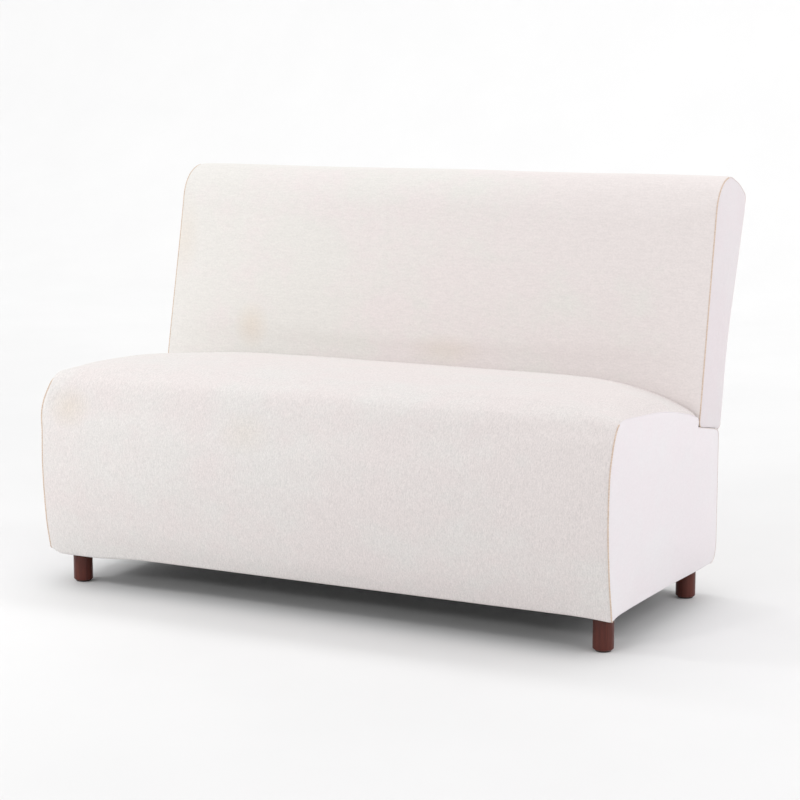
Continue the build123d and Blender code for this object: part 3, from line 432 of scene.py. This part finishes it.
# Crease in the side panel: how deep, and where
CREASE, CREASE_D = 2.2, 506
# Hang of the side hem at the front, more of it at the rear, and less of it at the front left
SIDE_HANG, SIDE_HANG_REAR, LEFT_LESS = 3.0, 6.0, 2.0
# Hang of the front hem in the middle, and more of it at the right and at the left
FRONT_HANG, RIGHT_HANG, LEFT_HANG = 3.0, 2.0, 7.0
# Width over which the lower left corner is rounded
LEFT_CORNER = 26
# Fullness of the back's lower left edge, and the height where it ends
BACK_FULL, BACK_FULL_TOP = 8.0, 460


def seat_fullness(x, d, z):
    """How far the seat's cloth stands out sideways."""
    share = abs(x) / SEAT_HALF
    full = REAR_FULL * ease((d - FULL_MIDDLE) / FULL_RUN)
    if x < 0:
        left = LEFT_FULL + LEFT_LOW * ease((240 - z) / 160) + LEFT_BUMP * bump(z, 378, 34)
        full += left * ease((FULL_MIDDLE - d) / FULL_RUN)
    crease = CREASE * bump(d, CREASE_D, 17) * ease((z - 170) / 130)
    return full * share**8 - crease * share**60


def seat_hang(x, d, z):
    """How far the seat's lower hems hang down."""
    share = abs(x) / SEAT_HALF
    side = SIDE_HANG + SIDE_HANG_REAR * ease((d - 100) / 400)
    front = FRONT_HANG + RIGHT_HANG * ease((x - 540) / 80)
    if x < 0:
        side -= LEFT_LESS * ease((110 - d) / 70)
        front += LEFT_HANG * ease((-x - 400) / 130)
        front *= ease((SEAT_HALF - abs(x)) / LEFT_CORNER)
    return ease((115 - z) / 40) * (side * share**40 + front * ease((62 - d) / 26))


def seat_row(x, d, z):
    """Point of the seat unit in the frame."""
    return place(x + math.copysign(seat_fullness(x, d, z), x), d, z - seat_hang(x, d, z))


def back_row(x, u, v):
    """Point of the back unit in the frame."""
    d, z = from_back(u, v)
    full = BACK_FULL * (1 - ease(v / BACK_FULL_TOP)) * ease(-x / BACK_HALF) ** 6
    return place(x - full, d, z)


# Middle of each side panel, and how far it bulges
SEAT_CENTRE, SEAT_SIDE_BULGE = np.array([290.0, 225.0]), 3.0
BACK_CENTRE, BACK_SIDE_BULGE = np.array([80.0, 260.0]), 2.5
wells = (-POST_X, POST_X)
seat_unit = build_unit(
    "seat_upholstery",
    seat_loop,
    SEAT_HALF,
    seat_row,
    SEAT_CENTRE,
    SEAT_SIDE_BULGE,
    close=("ledge", "tuck"),
    extra=[line for x in wells for line in well_lines(x, WELL_X)],
    wells=wells,
)
back_unit = build_unit(
    "back_upholstery",
    back_loop,
    BACK_HALF,
    back_row,
    BACK_CENTRE,
    BACK_SIDE_BULGE,
    close=("under", "foot", "heel"),
)
seat, back = seat_unit.obj, back_unit.obj


# Padding: cloth held at its seams and swelled by pressure

SWELL_FRAMES = 20
SWELL_PRESSURE = 3.5


def swell(obj, loose, cap):
    """Let the loose points of a closed cover swell, each by at most the cap, and keep the result."""
    mesh = obj.data
    start = np.array([v.co for v in mesh.vertices])
    group = obj.vertex_groups.new(name="held")
    group.add([i for i in range(len(start)) if not loose[i]], 1.0, "REPLACE")
    cloth = obj.modifiers.new("swell", "CLOTH")
    settings = cloth.settings
    settings.quality = 5
    settings.mass = 0.3
    settings.tension_stiffness = 25
    settings.compression_stiffness = 25
    settings.shear_stiffness = 12
    settings.bending_stiffness = 4
    settings.use_pressure = True
    settings.uniform_pressure_force = SWELL_PRESSURE
    settings.vertex_group_mass = "held"
    settings.effector_weights.gravity = 0
    cloth.collision_settings.use_collision = False
    cloth.collision_settings.use_self_collision = False
    for step in range(1, SWELL_FRAMES + 1):
        scene.frame_set(step)
    shape = obj.evaluated_get(bpy.context.evaluated_depsgraph_get()).data
    moved = np.array([v.co for v in shape.vertices]) - start
    length = np.linalg.norm(moved, axis=1)
    moved *= (np.minimum(length, cap) / np.maximum(length, 1e-9))[:, None]
    obj.modifiers.remove(cloth)
    obj.vertex_groups.remove(group)
    scene.frame_set(1)
    mesh.vertices.foreach_set("co", (start + moved).ravel())
    mesh.update()


def settle(obj, loose, height, size, seed):
    """Give loose cloth slow, shallow unevenness."""
    mesh = obj.data
    shift = Vector((seed, 2.3 * seed, 4.1 * seed))
    for v in mesh.vertices:
        if loose[v.index]:
            spot = Vector(v.co) * size
            level = noise.noise(spot + shift) + 0.5 * noise.noise(spot * 2.3 - shift)
            v.co += v.normal * level * height
    mesh.update()


def loose_points(unit, held):
    """Points that may swell: not on a seam, and not on a part that is held down."""
    count = len(unit.names)
    seam = len(END_ROUNDING)
    flags = np.zeros(len(unit.obj.data.vertices), bool)
    for i in range(seam, len(unit.columns) - seam):
        for j in range(count):
            flags[i * count + j] = unit.names[j] not in held
    panel = len(SIDE_RINGS) * count + 1
    for hand in range(2):
        start = len(unit.columns) * count + hand * panel
        flags[start + count : start + panel] = True
    return flags


seat_loose = loose_points(seat_unit, {"hem", "tuck", "ledge", "rear_top", "rear_hem", "under"})
back_loose = loose_points(back_unit, {"foot", "heel", "under", "rear_top"})
# The lowest rows of the back's front lie against the seat, so they are held too
LOW_ROWS = 9
low_front = [j for j, name in enumerate(back_unit.names) if name == "front"][:LOW_ROWS]
for i in range(len(back_unit.columns)):
    for j in low_front:
        back_loose[i * len(back_unit.names) + j] = False
swell(seat, seat_loose, cap=0.005)
swell(back, back_loose, cap=0.004)
settle(seat, seat_loose, height=0.0011, size=5.0, seed=1.7)
settle(back, back_loose, height=0.0009, size=5.0, seed=5.3)


# Materials

def material(name):
    """A new material with its nodes, links, main shader and coordinates."""
    mat = bpy.data.materials.new(name)
    mat.use_nodes = True
    nodes, links = mat.node_tree.nodes, mat.node_tree.links
    return mat, nodes, links, nodes["Principled BSDF"], nodes.new("ShaderNodeTexCoord")


def grain_noise(nodes, links, coords, scale, **values):
    """Noise on object coordinates stretched by a scale for each axis."""
    mapping = nodes.new("ShaderNodeMapping")
    mapping.inputs["Scale"].default_value = scale
    links.new(coords.outputs["Object"], mapping.inputs["Vector"])
    node = nodes.new("ShaderNodeTexNoise")
    node.inputs["Scale"].default_value = 1.0
    for key, value in values.items():
        node.inputs[key].default_value = value
    links.new(mapping.outputs["Vector"], node.inputs["Vector"])
    return node.outputs["Fac"]


def ramp(nodes, links, source, stops):
    """Colours for the values of a source, from stops of position and colour."""
    node = nodes.new("ShaderNodeValToRGB")
    while len(node.color_ramp.elements) < len(stops):
        node.color_ramp.elements.new(0.5)
    for element, (position, colour) in zip(node.color_ramp.elements, stops):
        element.position = position
        element.color = (*colour, 1)
    links.new(source, node.inputs["Fac"])
    return node.outputs["Color"]


def multiplied(nodes, links, a, b):
    """Product of two colours."""
    node = nodes.new("ShaderNodeMix")
    node.data_type = "RGBA"
    node.blend_type = "MULTIPLY"
    node.inputs["Factor"].default_value = 1.0
    links.new(a, node.inputs["A"])
    links.new(b, node.inputs["B"])
    return node.outputs["Result"]


def bumped(nodes, links, shader, height, strength, distance, under=None):
    """Relief on a shader, over an earlier relief where one is given."""
    node = nodes.new("ShaderNodeBump")
    node.inputs["Strength"].default_value = strength
    node.inputs["Distance"].default_value = distance
    links.new(height, node.inputs["Height"])
    if under is not None:
        links.new(under.outputs["Normal"], node.inputs["Normal"])
    links.new(node.outputs["Normal"], shader.inputs["Normal"])
    return node


def grey(value):
    return (value, value, value)


def drifted(nodes, links, coords, source, drift):
    """A source that grows towards the right by a drift for each metre."""
    split = nodes.new("ShaderNodeSeparateXYZ")
    links.new(coords.outputs["Object"], split.inputs["Vector"])
    node = nodes.new("ShaderNodeMath")
    node.operation = "MULTIPLY_ADD"
    node.inputs[1].default_value = drift
    links.new(split.outputs["X"], node.inputs[0])
    links.new(source, node.inputs[2])
    return node.outputs["Value"]


def marked(nodes, links, coords, colour, stain, spot):
    """A colour with one soft mark, from its place, its size and its strength."""
    middle, size, strength = spot
    mapping = nodes.new("ShaderNodeMapping")
    mapping.vector_type = "TEXTURE"
    mapping.inputs["Location"].default_value = middle
    mapping.inputs["Scale"].default_value = size
    links.new(coords.outputs["Object"], mapping.inputs["Vector"])
    glow = nodes.new("ShaderNodeTexGradient")
    glow.gradient_type = "SPHERICAL"
    links.new(mapping.outputs["Vector"], glow.inputs["Vector"])
    node = nodes.new("ShaderNodeMix")
    node.data_type = "RGBA"
    share = ramp(nodes, links, glow.outputs["Fac"], [(0.05, grey(0.0)), (0.8, grey(strength))])
    links.new(share, node.inputs["Factor"])
    links.new(colour, node.inputs["A"])
    node.inputs["B"].default_value = (*stain, 1)
    return node.outputs["Result"]


# Scale of the mottling in cloth, and relief of its threads for each unit of depth
MOTTLE = (5.5, 6.5, 7.5)
RELIEF = 0.006


def fabric(name, neutral, blush, stain, slub, pebble, depth, drift=0.0, spots=()):
    """Brushed woven cloth: slub streaks, a pebbly nap, mottling with blush to the right, marks, a sheen."""
    mat, nodes, links, shader, coords = material(name)
    streak = grain_noise(nodes, links, coords, slub, Detail=3.0, Roughness=0.62)
    nap = grain_noise(nodes, links, coords, pebble, Detail=2.0, Roughness=0.55)
    cloud = grain_noise(nodes, links, coords, MOTTLE, Detail=5.0, Roughness=0.66)
    tint = drifted(nodes, links, coords, cloud, drift)
    colour = ramp(nodes, links, tint, [(0.37, neutral), (0.58, blush)])
    for spot in spots:
        colour = marked(nodes, links, coords, colour, stain, spot)
    threads = ramp(nodes, links, streak, [(0.3, grey(1 - 0.7 * depth)), (0.68, grey(1.0))])
    grains = ramp(nodes, links, nap, [(0.28, grey(1 - depth)), (0.7, grey(1.0))])
    colour = multiplied(nodes, links, multiplied(nodes, links, colour, threads), grains)
    links.new(colour, shader.inputs["Base Color"])
    rough = ramp(nodes, links, nap, [(0.2, grey(0.86)), (0.8, grey(0.97))])
    links.new(rough, shader.inputs["Roughness"])
    shader.inputs["Specular IOR Level"].default_value = 0.25
    shader.inputs["Sheen Weight"].default_value = 0.22
    shader.inputs["Sheen Roughness"].default_value = 0.45
    shader.inputs["Sheen Tint"].default_value = (1.0, 0.98, 0.97, 1)
    low = bumped(nodes, links, shader, streak, 0.4, RELIEF * depth)
    bumped(nodes, links, shader, nap, 0.5, RELIEF * depth, low)
    return mat


def plain(name, dark, light, scale, rough=0.6, metal=0.0, depth=0.0003, detail=3.0):
    """A surface with fine variation in colour, roughness and height."""
    mat, nodes, links, shader, coords = material(name)
    grain = grain_noise(nodes, links, coords, scale, Detail=detail, Roughness=0.6)
    links.new(ramp(nodes, links, grain, [(0.32, dark), (0.68, light)]), shader.inputs["Base Color"])
    gloss = ramp(nodes, links, grain, [(0.2, grey(rough - 0.07)), (0.8, grey(rough + 0.07))])
    links.new(gloss, shader.inputs["Roughness"])
    shader.inputs["Metallic"].default_value = metal
    bumped(nodes, links, shader, grain, 0.4, depth)
    return mat


def stained_wood(name, dark, light):
    """Stained hardwood with grain along the leg and a satin coat."""
    mat, nodes, links, shader, coords = material(name)
    grain = grain_noise(nodes, links, coords, (260, 260, 14), Detail=4.0, Roughness=0.62, Distortion=0.4)
    pores = grain_noise(nodes, links, coords, (900, 900, 40), Detail=2.0, Roughness=0.5)
    broad = grain_noise(nodes, links, coords, (38, 38, 5), Detail=2.0, Roughness=0.5)
    colour = ramp(nodes, links, grain, [(0.3, dark), (0.7, light)])
    wide = ramp(nodes, links, broad, [(0.3, grey(0.82)), (0.7, grey(1.05))])
    links.new(multiplied(nodes, links, colour, wide), shader.inputs["Base Color"])
    gloss = ramp(nodes, links, pores, [(0.3, grey(0.5)), (0.7, grey(0.36))])
    links.new(gloss, shader.inputs["Roughness"])
    shader.inputs["Specular IOR Level"].default_value = 0.3
    shader.inputs["Coat Weight"].default_value = 0.06
    shader.inputs["Coat Roughness"].default_value = 0.3
    bumped(nodes, links, shader, pores, 0.25, 0.0003)
    return mat


# Cloth colours, and the marks on it: place, size and strength
NEUTRAL, BLUSH, STAIN = (0.800, 0.772, 0.753), (0.810, 0.752, 0.738), (0.77, 0.69, 0.61)
# Side panels: the front's cloth with a lilac tint painted in, as painted light from the right
SIDE_PALE_PAINTED_LIGHT, SIDE_LILAC_PAINTED_LIGHT = (0.795, 0.767, 0.785), (0.80, 0.752, 0.775)
IVORY = (0.790, 0.768, 0.736)
# Back's side panels: the side cloth made darker and pinker, as painted shade
BACK_SIDE_PAINTED_SHADE, BACK_SIDE_ROSE_PAINTED_SHADE = (0.735, 0.698, 0.715), (0.74, 0.68, 0.70)
SEAT_SPOTS = [
    ((-0.565, -0.335, 0.38), (0.06, 0.10, 0.05), 0.6),
    ((-0.145, -0.34, 0.36), (0.07, 0.10, 0.05), 0.3),
]
BACK_SPOTS = [
    ((-0.42, 0.14, 0.507), (0.05, 0.10, 0.06), 0.66),
    ((-0.615, 0.18, 0.69), (0.05, 0.10, 0.11), 0.4),
    ((0.06, 0.13, 0.48), (0.10, 0.10, 0.04), 0.4),
]
# Scales of the streaks and of the nap
SEAT_WEAVE = (480, 110, 110), (560, 260, 260)
SIDE_WEAVE = (260, 70, 200), (220, 220, 220)
BACK_WEAVE = (55, 215, 215), (240, 300, 300)
THREAD_GRAIN = (300, 300, 300)
seat_cloth = fabric("seat_cloth", NEUTRAL, BLUSH, STAIN, *SEAT_WEAVE, depth=0.155, drift=0.08, spots=SEAT_SPOTS)
# Side cloth: painted lilac light, used on the side panels and on the seat's top seams
side_cloth_painted_lilac_light = fabric("side_cloth_painted_lilac_light", SIDE_PALE_PAINTED_LIGHT, SIDE_LILAC_PAINTED_LIGHT, BLUSH, *SIDE_WEAVE, depth=0.028)
# Back side cloth: painted shade, darker than the seat's side cloth
back_side_cloth_painted_shade = fabric("back_side_cloth_painted_shade", BACK_SIDE_PAINTED_SHADE, BACK_SIDE_ROSE_PAINTED_SHADE, BLUSH, *SIDE_WEAVE, depth=0.028)
back_cloth = fabric("back_cloth", IVORY, BLUSH, STAIN, *BACK_WEAVE, depth=0.075, drift=0.25, spots=BACK_SPOTS)
lining = plain("lining_cloth", (0.018, 0.018, 0.02), (0.035, 0.035, 0.038), (900, 900, 900), rough=0.95)
thread = plain("seam_thread", (0.56, 0.43, 0.34), (0.72, 0.59, 0.49), THREAD_GRAIN, rough=0.9)
pale_thread = plain("pale_seam", (0.68, 0.60, 0.58), (0.77, 0.70, 0.68), THREAD_GRAIN, rough=0.9)
leg_wood = stained_wood("leg_wood", (0.068, 0.0135, 0.0085), (0.13, 0.027, 0.0165))
# Looks of the plain materials: dark and light colour, scale of the grain, roughness, metal
LOOKS = {
    "plywood": ((0.50, 0.35, 0.20), (0.66, 0.50, 0.32), (9, 120, 120), 0.75),
    "hardwood": ((0.38, 0.25, 0.14), (0.52, 0.37, 0.22), (14, 160, 160), 0.7),
    "hardboard": ((0.16, 0.09, 0.05), (0.24, 0.15, 0.09), (400, 400, 400), 0.85),
    "webbing": ((0.03, 0.028, 0.026), (0.07, 0.065, 0.06), (900, 900, 300), 0.9),
    "foam": ((0.72, 0.66, 0.46), (0.82, 0.77, 0.58), (500, 500, 500), 0.95),
    "batting": ((0.80, 0.80, 0.78), (0.90, 0.90, 0.88), (200, 200, 200), 0.95),
    "spring_steel": ((0.28, 0.28, 0.29), (0.42, 0.42, 0.43), (300, 300, 300), 0.4, 1.0),
    "zinc_steel": ((0.48, 0.48, 0.47), (0.62, 0.62, 0.6), (120, 120, 900), 0.35, 1.0),
    "glide_plastic": ((0.02, 0.018, 0.016), (0.035, 0.03, 0.028), (600, 600, 600), 0.5),
}
slots = {name: plain(name, *look) for name, look in LOOKS.items()}
slots.update(lining_cloth=lining, cover_fabric=seat_cloth, leg_wood=leg_wood)
for entry in frame["record"]["subparts"]:
    node = frame["nodes"][entry["node"]]
    node.data.materials.clear()
    node.data.materials.append(slots[entry["material_slot"]])


def dress(unit, cloths):
    """Put the cloths on the faces of a unit, by the part each face lies on, and smooth it."""
    order = list(dict.fromkeys(cloths.values()))
    for mat in order:
        unit.obj.data.materials.append(mat)
    for face in unit.obj.data.polygons:
        name = unit.kind[face.index] if face.index < len(unit.kind) else "under"
        face.material_index = order.index(cloths.get(name, cloths["front"]))
        face.use_smooth = True
    smooth = unit.obj.modifiers.new("smooth", "SUBSURF")
    smooth.levels = 1
    smooth.render_levels = 1


dress(seat_unit, {"front": seat_cloth, "side": side_cloth_painted_lilac_light, "under": lining})
dress(back_unit, {"front": back_cloth, "side": back_side_cloth_painted_shade, "under": lining})
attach(seat, "base")
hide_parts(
    "seat_cover", "side_cover_left", "side_cover_right", "rear_cover", "ledge_cover",
    "seat_foam", "front_pad", "side_pad_left", "side_pad_right",
)
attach(back, "backrest")
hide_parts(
    "back_cover", "back_side_cover_left", "back_side_cover_right", "back_rear_cover",
    "back_bottom_cover", "back_foam", "back_side_pad_left", "back_side_pad_right",
)


# Seams, in metres

SEAM_STEP = 0.0014
STITCH = 0.0052
NIP = 0.14
SEAM_SIDES = 8
# Radii of the seams
LEFT_FRONT_SEAM = 0.002
FRONT_SEAM = 0.0016
REAR_SEAM = 0.0013
BACK_TOP_SEAM = 0.0012
LEDGE_SEAM = 0.0011
SEAT_TOP_SEAM = 0.0009
# How many points before the end of the roll the front seam gives way to the top seam
SEAT_SPLIT, BACK_SPLIT = 4, 5


def tube(name, path, radius, body, mat):
    """A sewn seam: a thin cord along a path, nipped by its stitches."""
    length = np.sum(np.linalg.norm(np.diff(path, axis=0), axis=1))
    path = even(path, max(8, int(length / SEAM_STEP)))
    sides = SEAM_SIDES
    verts, faces = [], []
    for i, point in enumerate(path):
        along = Vector(path[min(i + 1, len(path) - 1)] - path[max(i - 1, 0)]).normalized()
        if i == 0:
            across = along.orthogonal().normalized()
        else:
            across = (across - along * across.dot(along)).normalized()
        other = along.cross(across)
        nipped = radius * (1 - NIP + NIP * math.cos(2 * math.pi * i * SEAM_STEP / STITCH))
        for k in range(sides):
            angle = 2 * math.pi * k / sides
            verts.append(Vector(point) + (across * math.cos(angle) + other * math.sin(angle)) * nipped)
    for i in range(len(path) - 1):
        for k in range(sides):
            m = (k + 1) % sides
            faces.append((i * sides + k, i * sides + m, (i + 1) * sides + m, (i + 1) * sides + k))
    faces.append(tuple(range(sides))[::-1])
    faces.append(tuple((len(path) - 1) * sides + k for k in range(sides)))
    mesh = bpy.data.meshes.new(name)
    mesh.from_pydata(verts, [], faces)
    for face in mesh.polygons:
        face.use_smooth = True
    mesh.materials.append(mat)
    obj = bpy.data.objects.new(name, mesh)
    scene.collection.objects.link(obj)
    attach(obj, body)


def seam_path(unit, hand, parts):
    """Run of the sewn edge between a side panel and the wrap, over the named parts."""
    base = 0 if hand < 0 else (len(unit.columns) - 1) * len(unit.names)
    picked = [j for j, name in enumerate(unit.names) if name in parts]
    return np.array([unit.obj.data.vertices[base + j].co for j in picked])


def cross_path(unit, part):
    """Run across the width along the last point of a part in every cross-section."""
    count = len(unit.names)
    last = max(j for j in range(count) if unit.names[j] == part)
    return np.array([unit.obj.data.vertices[i * count + last].co for i in range(len(unit.columns))])


for hand, side in ((-1, "left"), (1, "right")):
    edge = seam_path(seat_unit, hand, ("hem", "front", "roll", "top"))
    split = sum(name in ("hem", "front", "roll") for name in seat_unit.names) - SEAT_SPLIT
    radius = FRONT_SEAM if hand > 0 else LEFT_FRONT_SEAM
    tube("seat_front_seam_" + side, edge[: split + 1], radius, "base", thread)
    tube("seat_top_seam_" + side, edge[split:], SEAT_TOP_SEAM, "base", side_cloth_painted_lilac_light)
    edge = seam_path(seat_unit, hand, ("rear_top", "rear", "rear_hem"))
    tube("seat_rear_seam_" + side, edge, REAR_SEAM, "base", pale_thread)
    edge = seam_path(seat_unit, hand, ("ledge",))
    tube("ledge_seam_" + side, edge, LEDGE_SEAM, "base", pale_thread)
    edge = seam_path(back_unit, hand, ("foot", "front", "roll", "top", "rear_top"))
    split = sum(name in ("foot", "front", "roll") for name in back_unit.names) - BACK_SPLIT
    tube("back_front_seam_" + side, edge[: split + 1], FRONT_SEAM, "backrest", thread)
    tube("back_top_seam_" + side, edge[split:], BACK_TOP_SEAM, "backrest", pale_thread)
    edge = seam_path(back_unit, hand, ("rear", "heel"))
    tube("back_rear_seam_" + side, edge, REAR_SEAM, "backrest", pale_thread)
tube("back_cross_seam", cross_path(back_unit, "rear_top"), REAR_SEAM, "backrest", pale_thread)
tube("base_cross_seam", cross_path(seat_unit, "rear_top"), REAR_SEAM, "base", pale_thread)


# Lining under the base

# Half width and places of the front and rear edges, in mm
LINING_HALF, LINING_FRONT, LINING_REAR = 608, 50, 574
# Height, thickness and sag, in metres
LINING_Z = 0.0748
LINING_THICKNESS = 0.0008
LINING_SAG = 0.003


def lining_sheet(name, low, high):
    """A thin stretched sheet that sags a little between its edges."""
    nx, ny = 60, 28
    span_x, span_y = high[0] - low[0], high[1] - low[1]
    verts, faces = [], []
    for level in (0, 1):
        for i in range(nx + 1):
            for j in range(ny + 1):
                fx, fy = i / nx, j / ny
                drop = LINING_SAG * (16 * fx * (1 - fx) * fy * (1 - fy)) ** 0.8
                z = LINING_Z - drop - level * LINING_THICKNESS
                verts.append((low[0] + span_x * fx, low[1] + span_y * fy, z))
    row = ny + 1
    size = (nx + 1) * row
    for i in range(nx):
        for j in range(ny):
            a = i * row + j
            b, c, d = a + row, a + row + 1, a + 1
            faces += [(a, b, c, d), (size + d, size + c, size + b, size + a)]
    rim = [i * row for i in range(nx + 1)] + [nx * row + j for j in range(1, ny + 1)]
    rim += [i * row + ny for i in range(nx - 1, -1, -1)] + list(range(ny - 1, 0, -1))
    for a, b in zip(rim, rim[1:] + rim[:1]):
        faces.append((b, a, size + a, size + b))
    mesh = bpy.data.meshes.new(name)
    mesh.from_pydata(verts, [], faces)
    mesh.materials.append(lining)
    for face in mesh.polygons:
        face.use_smooth = True
    obj = bpy.data.objects.new(name, mesh)
    scene.collection.objects.link(obj)
    return obj


lining_low, lining_high = place(-LINING_HALF, LINING_FRONT, 0), place(LINING_HALF, LINING_REAR, 0)
under = lining_sheet("underside_lining", lining_low, lining_high)
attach(under, "base")
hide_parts("dust_cover")


# Floor with a cove into the wall, in metres

FLOOR_HALF, FLOOR_FRONT = 14.0, -9.0
COVE_START, COVE_RADIUS = 4.5, 2.5
WALL_TOP = 9.0
cove = [math.radians(a) for a in range(6, 91, 6)]
profile = [(FLOOR_FRONT, 0.0), (COVE_START, 0.0)]
profile += [(COVE_START + COVE_RADIUS * math.sin(a), COVE_RADIUS - COVE_RADIUS * math.cos(a)) for a in cove]
profile.append((COVE_START + COVE_RADIUS, WALL_TOP))
floor_mesh = bpy.data.meshes.new("floor")
floor_mesh.from_pydata(
    [(x, y, z) for x in (-FLOOR_HALF, FLOOR_HALF) for y, z in profile],
    [],
    [(i, len(profile) + i, len(profile) + i + 1, i + 1) for i in range(len(profile) - 1)],
)
for face in floor_mesh.polygons:
    face.use_smooth = True
floor_mesh.materials.append(plain("floor_paint", grey(0.785), grey(0.80), (2, 2, 2), rough=0.8, depth=0.0001))
floor = bpy.data.objects.new("floor", floor_mesh)
scene.collection.objects.link(floor)


# Light and camera

world = bpy.data.worlds.new("studio")
scene.world = world
world.use_nodes = True
world.node_tree.nodes["Background"].inputs["Color"].default_value = (1.0, 1.0, 1.0, 1)
world.node_tree.nodes["Background"].inputs["Strength"].default_value = 0.72


def lamp(name, size, power, location, target, colour=(1, 1, 1)):
    """A rectangular lamp that shines from a location towards a target."""
    data = bpy.data.lights.new(name, "AREA")
    data.shape = "RECTANGLE"
    data.size, data.size_y = size
    data.energy = power
    data.color = colour
    obj = bpy.data.objects.new(name, data)
    obj.location = location
    obj.rotation_euler = (Vector(target) - Vector(location)).to_track_quat("-Z", "Y").to_euler()
    obj.visible_camera = False
    scene.collection.objects.link(obj)


lamp("key", (0.4, 0.4), 15, (-1.95, -1.45, 1.4), (-0.2, -0.2, 0.3))
lamp("front", (0.5, 0.5), 33, (-0.9, -4.6, 2.2), (0, -0.2, 0.35))
lamp("fill", (3.2, 2.4), 43, (3.6, -0.4, 2.4), (0.4, 0.0, 0.3), (1.0, 0.98, 1.0))
lamp("wall", (20.0, 3.0), 420, (-3.0, 2.5, 6.5), (-3.0, 7.4, 0.4))

# Camera, worked out from the vanishing points of the photograph: how far it looks down and to the left
LOOK_DOWN, LOOK_LEFT = 9.037, 27.353
camera_data = bpy.data.cameras.new("camera")
camera_data.lens = 94.5
camera_data.sensor_width = 36.0
camera = bpy.data.objects.new("camera", camera_data)
camera.location = place(1991.6, -3451.0, 1073.1)
camera.rotation_euler = (math.radians(90 - LOOK_DOWN), 0, math.radians(LOOK_LEFT))
scene.collection.objects.link(camera)
scene.camera = camera
scene.view_settings.view_transform = "Standard"
